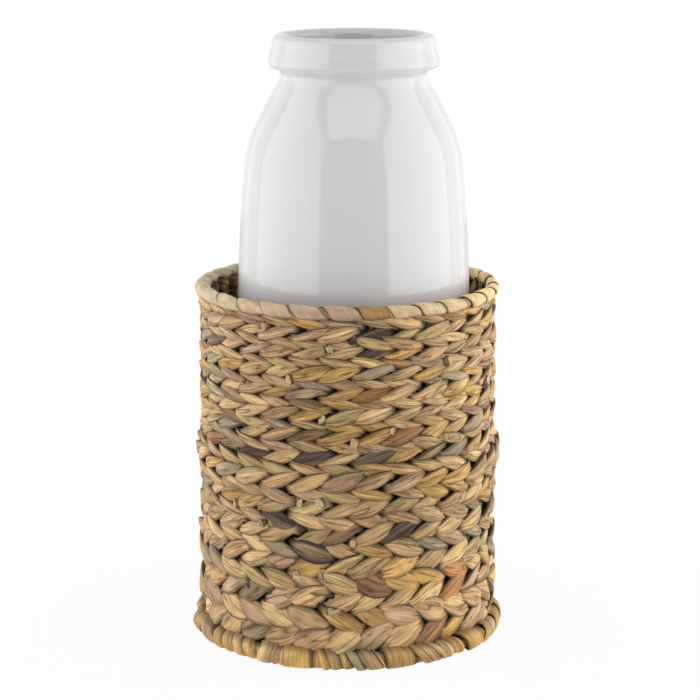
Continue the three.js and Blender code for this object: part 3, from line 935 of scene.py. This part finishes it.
class BASKETVASE_OT_stage(bpy.types.Operator):
    """Set up the floor, the soft boxes, the room and the camera"""

    bl_idname = "basketvase.stage"
    bl_label = "Stage"

    def execute(self, context):
        stage = context.scene.basket_vase.stage
        context.scene.view_settings.view_transform = "Standard"
        floor = self.lay_floor(context, stage)
        self.light_room(context, stage)
        for name, side, share in (("soft_box_left", -1, 1), ("soft_box_right", 1, stage.right_share)):
            self.set_soft_box(context, stage, name, side, stage.box_glow * share)
        self.set_cards(context, stage, floor)
        self.set_camera(context, stage)
        return {"FINISHED"}

    def lay_floor(self, context, stage):
        """Lay the round floor."""
        bm = bmesh.new()
        bmesh.ops.create_circle(bm, cap_ends=True, segments=96, radius=stage.floor_radius)
        mesh = bpy.data.meshes.new("floor")
        bm.to_mesh(mesh)
        bm.free()
        mesh.materials.append(floor_material(stage))
        floor = bpy.data.objects.new("floor", mesh)
        context.scene.collection.objects.link(floor)
        return floor

    def light_room(self, context, stage):
        """Make the room: white to the camera, dimmer in the glaze, and dim as a light."""
        world = bpy.data.worlds.new("room")
        world.use_nodes = True
        tree = world.node_tree
        tree.nodes.clear()
        path = add_node(tree, "ShaderNodeLightPath", {}).outputs
        seen = calculate(tree, "MAXIMUM", path["Is Camera Ray"], path["Is Transmission Ray"])
        plain = remap(tree, seen, 0, 1, stage.ambient, 1)
        mirrored = remap(tree, path["Is Glossy Ray"], 0, 1, stage.ambient, stage.sheen)
        glow = calculate(tree, "MAXIMUM", plain, mirrored)
        room = add_node(tree, "ShaderNodeBackground", {"Color": (1, 1, 1, 1), "Strength": glow})
        add_node(tree, "ShaderNodeOutputWorld", {"Surface": room.outputs["Background"]})
        context.scene.world = world

    def set_soft_box(self, context, stage, name, side, glow):
        """Set up a soft box, and the strips of it that the glaze mirrors, dimmer towards the back."""
        angle = side * stage.box_angle
        middle = on_circle(stage.box_distance, angle, stage.box_height / 2)
        aim = -outward_at(angle)
        backward = outward_at(angle + side * math.pi / 2)
        box = self.add_box(context, name, middle, aim, stage.box_width, stage.box_height, glow)
        box.visible_glossy = False
        begin = 0
        for number, (end, fade) in enumerate(MIRRORED_STRIPS, start=1):
            place = middle + backward * (stage.box_width * ((begin + end) / 2 - 0.5))
            width = stage.box_width * (end - begin)
            strip_name = "%s_strip_%d" % (name, number)
            strip = self.add_box(context, strip_name, place, aim, width, stage.box_height, glow * fade)
            strip.visible_diffuse = False
            begin = end

    def set_cards(self, context, stage, floor):
        """Set up the box overhead, two cards that only gloss mirrors, and the lamp below."""
        lamps = [
            self.add_box(context, name, place, target - place, width, height, glow)
            for name, (place, target, width, height), glow in (
                ("soft_box_top", TOP_BOX, stage.top_glow),
                ("high_card", HIGH_CARD, stage.high_glow),
                ("back_card", BACK_CARD, stage.back_glow),
                ("under_lamp", UNDER_LAMP, stage.under_glow),
            )
        ]
        high, back, under = lamps[1:]
        high.visible_diffuse = False
        back.visible_diffuse = False

        # The base is lit through the floor, so that it can be looked at from below
        under.visible_glossy = False
        let_through = bpy.data.collections.new("let_through")
        let_through.objects.link(floor)
        let_through.collection_objects[0].light_linking.link_state = "EXCLUDE"
        under.light_linking.blocker_collection = let_through

    def set_camera(self, context, stage):
        """Set up the camera."""
        camera_data = bpy.data.cameras.new("camera")
        camera_data.lens = stage.camera_lens
        camera_data.sensor_width = stage.camera_sensor
        camera = bpy.data.objects.new("camera", camera_data)
        camera.location = stage.camera_place
        camera.rotation_euler = (math.pi / 2 - stage.camera_dip, 0, 0)
        context.scene.collection.objects.link(camera)
        context.scene.camera = camera

    def add_box(self, context, name, place, aim, width, height, glow):
        """Add a soft box of a given brightness, which the camera doesn't see."""
        data = bpy.data.lights.new(name, "AREA")
        data.shape = "RECTANGLE"
        data.size = width
        data.size_y = height
        data.energy = glow * math.pi * width * height
        box = bpy.data.objects.new(name, data)
        box.location = place
        box.rotation_euler = aim.to_track_quat("-Z", "Y").to_euler()
        box.visible_camera = False
        context.scene.collection.objects.link(box)
        return box


class BASKETVASE_OT_vase(bpy.types.Operator):
    """Spin the vase's outline and glaze it"""

    bl_idname = "basketvase.vase"
    bl_label = "Vase"

    def outline(self, vase, height):
        """Closed outline in radius and height: outside, lip, inside, floor and foot ring."""
        shoulder = height - vase.shoulder_drop
        neck = height - vase.neck_drop
        collar = height - vase.collar_drop
        lip = height - vase.lip_round
        fall = (shoulder - vase.belly_height) / 3
        belly, neck_radius, shoulder_radius = vase.belly_radius, vase.neck_radius, vase.shoulder_radius
        curves = [
            ((vase.foot_radius, 0), (belly, vase.foot_turn),
             (belly, vase.belly_height - vase.belly_reach), (belly, vase.belly_height)),
            ((belly, vase.belly_height), (belly, vase.belly_height + vase.belly_reach),
             (shoulder_radius + vase.shoulder_lean * fall, shoulder - fall), (shoulder_radius, shoulder)),
            ((shoulder_radius, shoulder),
             (shoulder_radius - vase.shoulder_lean * vase.shoulder_reach, shoulder + vase.shoulder_reach),
             (neck_radius + vase.neck_flare, neck - vase.neck_reach), (neck_radius, neck)),
            ((neck_radius, neck), (neck_radius, neck + vase.collar_tuck),
             (vase.collar_radius, collar - vase.collar_tuck), (vase.collar_radius, collar)),
            ((vase.collar_radius, collar), (vase.collar_radius, collar + vase.collar_tuck),
             (vase.lip_radius, lip - vase.collar_tuck), (vase.lip_radius, lip)),
        ]
        outside = []
        for curve in curves:
            knots = [Vector((radius, up, 0)) for radius, up in curve]
            outside += interpolate_bezier(*knots, vase.steps)[1 if outside else 0:]

        middle = (vase.lip_radius + vase.mouth_radius) / 2
        half = (vase.lip_radius - vase.mouth_radius) / 2
        rounded = []
        for i in range(1, vase.steps):
            turn = math.pi * i / vase.steps
            radius = middle + half * math.cos(turn)
            rounded.append(Vector((radius, lip + vase.lip_round * math.sin(turn), 0)))

        inside = []
        floor_top = vase.foot_recess + vase.floor
        for i in range(1, len(outside) - 1):
            along = (outside[i + 1] - outside[i - 1]).normalized()
            point = outside[i] + Vector((-along.y, along.x, 0)) * vase.wall
            if floor_top + vase.wall < point.y < lip and point.x < vase.belly_radius:
                inside.append(point)
        inside = [point for point in inside if point.y < neck or point.x <= vase.mouth_radius]
        inside.append(Vector((vase.mouth_radius, lip, 0)))
        corner = inside[0]
        sweep = interpolate_bezier(
            Vector((corner.x - 3 * vase.wall, floor_top, 0)), Vector((corner.x - vase.wall, floor_top, 0)),
            Vector((corner.x - 0.4 * vase.wall, floor_top + 0.3 * vase.wall, 0)), corner, vase.steps,
        )
        ring_inside = vase.foot_radius - vase.foot_ring
        under = [
            Vector((0, floor_top, 0)), Vector((0, vase.foot_recess, 0)),
            Vector((ring_inside - vase.foot_recess, vase.foot_recess, 0)), Vector((ring_inside, 0, 0)),
        ]
        return outside, rounded, [*reversed(inside), *reversed(sweep[:-1])], under

    def execute(self, context):
        settings = context.scene.basket_vase
        vase = settings.vase
        low, high = VASE_BOX
        outside, rounded, inside, under = self.outline(vase, high.z - low.z)
        centre = Vector(((low.x + high.x) / 2, (low.y + high.y) / 2, low.z))
        bm = bmesh.new()
        for run in ([*outside, *rounded, *inside, under[0]], [*under[1:], outside[0]]):
            verts = [bm.verts.new((point.x, 0, point.y)) for point in run]
            for first, second in zip(verts, verts[1:]):
                bm.edges.new((first, second))
        bmesh.ops.spin(
            bm, geom=[*bm.verts, *bm.edges], cent=(0, 0, 0), axis=(0, 0, 1), angle=2 * math.pi,
            steps=vase.around, use_merge=True,
        )
        close_seams(bm)
        inside_layer = bm.verts.layers.float.new(INSIDE)
        for vert in bm.verts:
            facing = vert.normal.x * vert.co.x + vert.normal.y * vert.co.y
            vert[inside_layer] = 1 if facing < -0.2 * vert.co.xy.length else 0
        bmesh.ops.translate(bm, verts=bm.verts, vec=centre)
        piece = finish_piece("glazed_vase", bm, glaze_material(vase), "vase", "glaze", "vase")
        piece.data.set_sharp_from_angle(angle=vase.sharp)
        return {"FINISHED"}


class BASKETVASE_OT_stake_frame(bpy.types.Operator):
    """Set up the stakes between their two hoops, and the spokes of the base with their lashing"""

    bl_idname = "basketvase.stake_frame"
    bl_label = "Stakes, Hoops and Spokes"

    def execute(self, context):
        settings = context.scene.basket_vase
        weave = settings.weave
        basket = measure_basket(settings)
        cane = linear(settings.colours.cane)
        draw = random.Random(weave.seed)
        bm = new_bmesh()
        for i in range(weave.stakes):
            angle = stake_angle(weave, i)
            bottom = on_circle(basket.foot_stakes, angle, basket.foot_height)
            top = on_circle(basket.rim_stakes, angle, basket.rim_height)
            colour = cane * draw.uniform(0.85, 1.15)
            section = round_rod(bottom, top, weave.stake_radius, colour, wobble=0.0006, seed=i)
            run, girth = (top - bottom).length, 2 * math.pi * weave.stake_radius
            lay_tube(bm, section, steps=30, sides=10, run=run, girth=girth)
        hoops = (basket.rim_hoop, basket.rim_height), (basket.foot_hoop, basket.foot_height)
        for circle, height in hoops:
            section = round_hoop(circle, height, weave.hoop_radius, cane)
            run, girth = 2 * math.pi * circle, 2 * math.pi * weave.hoop_radius
            lay_tube(bm, section, steps=120, sides=12, run=run, girth=girth)
        low = min(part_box(node)[0].z for node in BASE_NODES)
        high = max(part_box(node)[1].z for node in BASE_NODES)
        spoke_height = (low + high) / 2
        for i in range(weave.spokes):
            angle = weave.first_stake + 2 * math.pi * i / weave.spokes
            inner = on_circle(weave.hub_radius / 3, angle, spoke_height)
            outer = on_circle(stake_circle(basket, spoke_height), angle, spoke_height)
            colour = cane * draw.uniform(0.85, 1.1)
            section = round_rod(inner, outer, weave.spoke_radius, colour, wobble=0.0004, seed=50 + i)
            run, girth = (outer - inner).length, 2 * math.pi * weave.spoke_radius
            lay_tube(bm, section, steps=16, sides=10, run=run, girth=girth)
        section = self.lashing(weave, spoke_height, linear(settings.colours.straw))
        lay_tube(bm, section, steps=220, sides=10, run=0.35, girth=0.012)
        close_seams(bm)
        material = fibre_material("plain_cane", streak=0.18, crease=0.35, relief=0.25, roughness=0.5)
        finish_piece("cane_stakes_and_hoops", bm, material, "basket", "cane", "stake_frame")
        return {"FINISHED"}

    def lashing(self, weave, height, colour):
        """Section of the strip coiled over and under the spokes where they meet."""
        turns = 4.5
        first_radius, last_radius = 0.003, weave.hub_radius - 0.002
        half_width, flatness = 0.0022, 0.7
        swing = 0.0012
        tone = colour * 0.9

        def section(share):
            angle = 2 * math.pi * turns * share
            radius = first_radius + (last_radius - first_radius) * share
            middle = on_circle(radius, angle, height + swing * math.cos(weave.spokes / 2 * angle))
            half = half_width if 0 < share < 1 else 0
            return oval(middle, outward_at(angle), UP, half, flatness * half, tone)

        return section


class BASKETVASE_OT_weave(bpy.types.Operator):
    """Twine two stems round the stakes for each course"""

    bl_idname = "basketvase.weave"
    bl_label = "Weave"

    def execute(self, context):
        settings = context.scene.basket_vase
        weave = settings.weave
        basket = measure_basket(settings)
        material = fibre_material("dried_stems", streak=0.44, crease=0.8, relief=0.55, roughness=0.54)
        steps = weave.steps * weave.stakes
        for number, node in enumerate(COURSE_NODES, start=1):
            course = measure_course(settings, basket, number, node)
            bm = new_bmesh()
            for strand in range(2):
                section = twined_stem(settings, basket, course, strand)
                run = 2 * math.pi * course.circle
                lay_tube(bm, section, steps, weave.sides, run, weave.girth, first=2 * number + strand)
            close_seams(bm)
            finish_piece("twined_course_%02d" % number, bm, material, "basket", "stems", node)
        return {"FINISHED"}


class BASKETVASE_OT_rim_wrap(bpy.types.Operator):
    """Wind the strip round the rim hoop"""

    bl_idname = "basketvase.rim_wrap"
    bl_label = "Rim Wrap"

    def execute(self, context):
        settings = context.scene.basket_vase
        weave, strip, colours = settings.weave, settings.strip, settings.colours
        basket = measure_basket(settings)
        draw = random.Random(weave.seed + 1)
        turns = []
        for i in range(weave.stakes):
            angle = stake_angle(weave, i + 0.5)
            deep = min(max(0.5 + 0.6 * math.sin(angle) + draw.uniform(-0.25, 0.25), 0), 1)
            # Towards the front the turns are pinker, and darker as painted shade
            rosy = math.exp(-((math.remainder(angle, 2 * math.pi) + 0.2) / 0.4) ** 2)
            colour = linear(colours.rim_pale).lerp(linear(colours.rim_deep), deep)
            colour = colour.lerp(linear(colours.rim_rose), rosy) * draw.uniform(0.9, 1.06)
            # Painted light: turns grow brighter towards the right
            colour = colour * (1.03 + 0.27 * max(math.sin(angle), 0))
            is_burnt = i == strip.burnt_turn
            width = draw.uniform(0.98, 1.1)
            turns.append(Turn(
                shift=draw.uniform(-0.02, 0.02), width=width, end=shown_end(strip, width),
                lift=draw.uniform(-0.0005, 0.0003) + (0.0004 if is_burnt else 0),
                crown=strip.crown * draw.uniform(0.5, 1.4), shear=draw.uniform(0, 0.4),
                seam=strip.seam,
                split_left=0.12 if is_burnt else -NO_SPLIT, split_right=0.28 if is_burnt else NO_SPLIT,
                left=linear(colours.rim_burnt), middle=linear(colours.rust) if is_burnt else colour,
                right=colour,
            ))
        height, outside = basket.rim_height - strip.slim, basket.rim_outside - strip.slim
        section = wound_strip(
            settings, basket.rim_hoop, height, outside, turns, start=1.25 * math.pi, floor=0,
        )
        material = fibre_material("rim_strip", streak=0.12, crease=0.12, relief=0.22, roughness=0.5)
        wind_wrap("wound_rim_strip", settings, section, strip.rim_girth, material, "rim_wrap")
        return {"FINISHED"}


class BASKETVASE_OT_foot_wrap(bpy.types.Operator):
    """Wind the rougher strip round the foot hoop"""

    bl_idname = "basketvase.foot_wrap"
    bl_label = "Foot Wrap"

    def execute(self, context):
        settings = context.scene.basket_vase
        weave, strip, colours = settings.weave, settings.strip, settings.colours
        basket = measure_basket(settings)
        draw = random.Random(weave.seed + 2)
        names = ("straw", "ochre", "ochre", "ochre", "tan", "tan", "rose", "cane")
        turns = []
        for i in range(weave.stakes):
            angle = stake_angle(weave, i + 0.5)
            calm = math.exp(-(math.remainder(angle, 2 * math.pi) / 0.55) ** 2)
            left, middle, right = (
                linear(getattr(colours, draw.choice(names))) * draw.uniform(0.78, 1.12) for _ in range(3)
            )
            lobes = draw.choice((1, 2, 2, 3))
            width = draw.uniform(0.88, 1.2)
            shear = (draw.choice((-0.4, 0.2, 0.6, 1.0, 1.3)) + draw.uniform(-0.3, 0.3)) * (1 - 0.85 * calm)
            turns.append(Turn(
                shift=draw.uniform(-0.02, 0.02), width=width, end=shown_end(strip, width),
                lift=draw.uniform(-0.0005, 0.0005) * strip.foot_rough,
                crown=strip.crown * draw.uniform(0.7, 1.4) * strip.foot_rough, shear=shear,
                seam=strip.foot_seam,
                split_left=draw.uniform(-0.26, -0.06) if lobes > 1 else -NO_SPLIT,
                split_right=draw.uniform(0.06, 0.2) if lobes > 2 else NO_SPLIT,
                left=left, middle=middle, right=right,
            ))
        section = wound_strip(
            settings, basket.foot_hoop, basket.foot_height, basket.foot_outside, turns,
            start=0.75 * math.pi, floor=strip.foot_lift,
        )
        material = fibre_material("foot_strip", streak=0.46, crease=0.4, relief=0.55, roughness=0.58)
        wind_wrap("wound_foot_strip", settings, section, strip.foot_girth, material, "foot_wrap")
        return {"FINISHED"}


class BASKETVASE_OT_base(bpy.types.Operator):
    """Weave the flat rounds of the base over and under its spokes"""

    bl_idname = "basketvase.base"
    bl_label = "Base"

    def execute(self, context):
        settings = context.scene.basket_vase
        weave = settings.weave
        material = fibre_material("base_stems", streak=0.34, crease=0.8, relief=0.5, roughness=0.6)
        inner = weave.hub_radius
        for number, node in enumerate(BASE_NODES):
            low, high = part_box(node)
            outer = max(high.x, high.y, -low.x, -low.y)
            bm = new_bmesh()
            section = self.round_section(settings, number, inner, outer, low.z, high.z)
            run = math.pi * (inner + outer)
            lay_tube(bm, section, 16 * weave.spokes, 16, run, weave.girth, first=number)
            close_seams(bm)
            finish_piece("base_stem_%d" % (number + 1), bm, material, "basket", "stems", node)
            inner = outer
        return {"FINISHED"}

    def round_section(self, settings, number, inner, outer, bottom, top):
        """Section of one flat stem that weaves over and under the spokes."""
        weave, colours = settings.weave, settings.colours
        draw = random.Random(weave.seed + 40 + number)
        names = [draw.choice(("straw", "tan", "ochre", "rose", "sage")) for _ in range(weave.spokes)]
        tones = [linear(getattr(colours, name)) * draw.uniform(0.8, 1.05) for name in names]
        half_thick = weave.base_thickness / 2
        half_width = (outer - inner) / 2
        swing = (top - bottom) / 2 - half_thick

        def section(share):
            turn = share * weave.spokes
            angle = weave.first_stake + 2 * math.pi * share
            outward = outward_at(angle)
            over = math.cos(math.pi * (turn + number))
            middle = on_circle((inner + outer) / 2, angle, (bottom + top) / 2 + swing * over)
            tone = tones[int(turn) % weave.spokes].lerp(tones[(int(turn) + 1) % weave.spokes], turn % 1)
            narrow = 1 - 0.12 * (1 - abs(over))

            def ring(share_round):
                around = 2 * math.pi * share_round
                flat, deep = math.cos(around), math.sin(around)
                ridge = 1 + 0.1 * noise.noise(Vector((2 * flat, 2 * deep, turn * 0.6 + 20 * number)))
                point = middle + outward * (half_width * flat * ridge * narrow)
                # Painted shade: the stem darkens towards its two edges, where it meets the rounds beside it
                return point + UP * (half_thick * deep * ridge), tone * (1 - 0.35 * flat ** 6)

            return ring

        return section


# Rings along a stub, of which the last closes its cut face, and the torn fibres of a frayed end
STUB_STEPS = 8
SLIVERS = 7
# Each end: its kind, the last stake to the left of it, counted from the first stake, and its height
FRONT_ENDS = (
    ("curl", -3, 0.212), ("stub", -1, 0.198), ("stub", -2, 0.180), ("stub", 3, 0.187),
    ("fray", 3, 0.176), ("stub", 5, 0.171), ("stub", -1, 0.152), ("stub", 1, 0.147),
    ("stub", 0, 0.145), ("curl", 3, 0.145), ("curl", 4, 0.125), ("stub", 1, 0.125),
    ("stub", -2, 0.107), ("stub", -1, 0.107), ("stub", -4, 0.098), ("fray", -3, 0.088),
    ("stub", -3, 0.085), ("stub", 0, 0.083), ("fray", 5, 0.056), ("fray", -2, 0.064),
    ("stub", -1, 0.061), ("fray", -1, 0.038),
)


class BASKETVASE_OT_stem_ends(bpy.types.Operator):
    """Leave the cut, frayed and curled ends of stems standing out of the weave"""

    bl_idname = "basketvase.stem_ends"
    bl_label = "Stem Ends"

    def execute(self, context):
        settings = context.scene.basket_vase
        weave, colours = settings.weave, settings.colours
        basket = measure_basket(settings)
        draw = random.Random(weave.seed + 3)
        ends = [*FRONT_ENDS]
        for _ in range(weave.back_ends):
            kind = draw.choice(("stub", "stub", "stub", "stub", "fray", "fray", "curl"))
            ends.append((kind, draw.uniform(9, 21), draw.uniform(0.03, 0.21)))
        boxes = [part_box(node) for node in COURSE_NODES]
        seams = [(above[0].z + below[1].z) / 2 for above, below in zip(boxes, boxes[1:])]
        pith = linear(colours.pith)
        bm = new_bmesh()
        for kind, stake, wanted in ends:
            stake = math.floor(stake) + draw.uniform(0.4, 0.6)
            height = min(seams, key=lambda seam: abs(seam - wanted))
            angle = stake_angle(weave, stake)
            root = on_circle(stake_circle(basket, height) + weave.root_depth, angle, height)
            colour = linear(getattr(colours, draw.choice(("straw", "tan", "rose", "brown"))))
            aim = draw.uniform(-0.6, 0.4) + (math.pi if draw.random() < 0.35 else 0)
            if kind == "curl":
                section = self.curl(draw, root, angle, colour.lerp(pith, 0.7))
                lay_tube(bm, section, steps=24, sides=8, run=0.02, girth=0.008)
            else:
                section = self.stub(draw, root, angle, aim, colour, pith)
                lay_tube(bm, section, steps=STUB_STEPS, sides=10, run=0.008, girth=0.012)
            if kind == "fray":
                for _ in range(SLIVERS):
                    section = self.sliver(draw, root, angle, aim, pith)
                    lay_tube(bm, section, steps=5, sides=5, run=0.008, girth=0.003)
        close_seams(bm)
        material = fibre_material("stem_ends", streak=0.28, crease=0.4, relief=0.45, roughness=0.62)
        piece = finish_piece("loose_stem_ends", bm, material, "basket", "stems")
        piece.data.set_sharp_from_angle(angle=weave.end_sharp)
        return {"FINISHED"}

    def heading(self, angle, aim):
        """Direction on the basket's face: aim 0 is to the right, a quarter turn is up."""
        return outward_at(angle + math.pi / 2) * math.cos(aim) + UP * math.sin(aim)

    def stub(self, draw, root, angle, aim, colour, pith):
        """Section of a flattened stem end, cut off so that its pith shows."""
        outward = outward_at(angle)
        heading = self.heading(angle, aim)
        across = heading.cross(outward)
        reach = draw.uniform(0.0032, 0.0046)
        bend = draw.uniform(1.1, 1.5)
        half_width = draw.uniform(0.0018, 0.0030)
        half_thick = half_width * draw.uniform(0.5, 0.85)
        pale = pith.lerp(colour, draw.uniform(0.1, 0.75))

        def section(share):
            run = min(share * STUB_STEPS / (STUB_STEPS - 1), 1)
            turned = bend * run
            sine, cosine = math.sin(turned), math.cos(turned)
            middle = root + heading * (reach * sine) + outward * (reach * (1 - cosine))
            upward = outward * cosine - heading * sine
            size = 1 if 0 < share < 1 else 0
            # Painted shade: the stub's sides darken towards the weave; the cut face is pale pith, darker in
            # its middle
            if share == 1:
                tone = pale * 0.8
            elif run == 1:
                tone = pale
            else:
                tone = colour * (0.12 + 0.4 * run)

            def ring(turn):
                around = 2 * math.pi * turn
                flat, deep = math.cos(around), math.sin(around)
                lump = noise.noise(root * 900 + Vector((1.5 * flat, 1.5 * deep, 3 * share)))
                crooked = size * (1 + 0.55 * lump)
                point = middle + across * (half_width * crooked * signed_power(flat, 0.6))
                return point + upward * (half_thick * crooked * signed_power(deep, 0.6)), tone

            return ring

        return section

    def sliver(self, draw, root, angle, aim, pith):
        """Section of one torn fibre of a frayed end."""
        outward = outward_at(angle)
        heading = self.heading(angle, aim + draw.uniform(-0.4, 0.4))
        across = heading.cross(outward)
        start = root + outward * draw.uniform(0.0035, 0.005) + self.heading(angle, aim) * 0.003
        reach = draw.uniform(0.006, 0.0095)
        lift = draw.uniform(-0.0005, 0.0015)
        half_width = draw.uniform(0.0006, 0.0011)
        tone = pith * draw.uniform(0.85, 1.05)

        def section(share):
            middle = start + heading * (reach * share) + outward * (lift * share)
            size = half_width * (1 - share)
            return oval(middle, across, outward, size, 0.6 * size, tone)

        return section

    def curl(self, draw, root, angle, colour):
        """Section of a slender stem end that dried into a curl."""
        outward = outward_at(angle)
        circle = draw.uniform(0.0032, 0.0042)
        start = draw.uniform(0, 2 * math.pi)
        sweep = draw.uniform(1.1, 1.4) * math.pi
        half_width = draw.uniform(0.0008, 0.0012)

        def section(share):
            aim = start + sweep * share
            radial = self.heading(angle, aim)
            middle = root + outward * (0.003 + 0.003 * share) + radial * (circle * (1 - 0.25 * share))
            size = half_width if 0 < share < 1 else 0
            return oval(middle, outward, radial, 1.8 * size, 0.8 * size, colour)

        return section


class BASKETVASE_PT_panel(bpy.types.Panel):
    """Lists the pieces in the order in which they are made"""

    bl_idname = "BASKETVASE_PT_panel"
    bl_label = "Basket Vase"
    bl_space_type = "VIEW_3D"
    bl_region_type = "UI"
    bl_category = "Basket Vase"

    def draw(self, context):
        for operator in OPERATORS:
            self.layout.operator(operator.bl_idname)


OPERATORS = (
    BASKETVASE_OT_stage,
    BASKETVASE_OT_vase,
    BASKETVASE_OT_stake_frame,
    BASKETVASE_OT_weave,
    BASKETVASE_OT_rim_wrap,
    BASKETVASE_OT_foot_wrap,
    BASKETVASE_OT_base,
    BASKETVASE_OT_stem_ends,
)
CLASSES = (
    VaseSettings,
    WeaveSettings,
    StripSettings,
    StemColours,
    StageSettings,
    BasketVaseSettings,
    *OPERATORS,
    BASKETVASE_PT_panel,
)


def register():
    """Register the classes and hang the settings on the scene."""
    for cls in CLASSES:
        bpy.utils.register_class(cls)
    bpy.types.Scene.basket_vase = PointerProperty(type=BasketVaseSettings)


def unregister():
    """Take the settings and the classes away again."""
    del bpy.types.Scene.basket_vase
    for cls in reversed(CLASSES):
        bpy.utils.unregister_class(cls)


def main():
    """Make every piece in order."""
    register()
    bpy.ops.basketvase.stage()
    bpy.ops.basketvase.vase()
    bpy.ops.basketvase.stake_frame()
    bpy.ops.basketvase.weave()
    bpy.ops.basketvase.rim_wrap()
    bpy.ops.basketvase.foot_wrap()
    bpy.ops.basketvase.base()
    bpy.ops.basketvase.stem_ends()


if __name__ == "__main__":
    main()
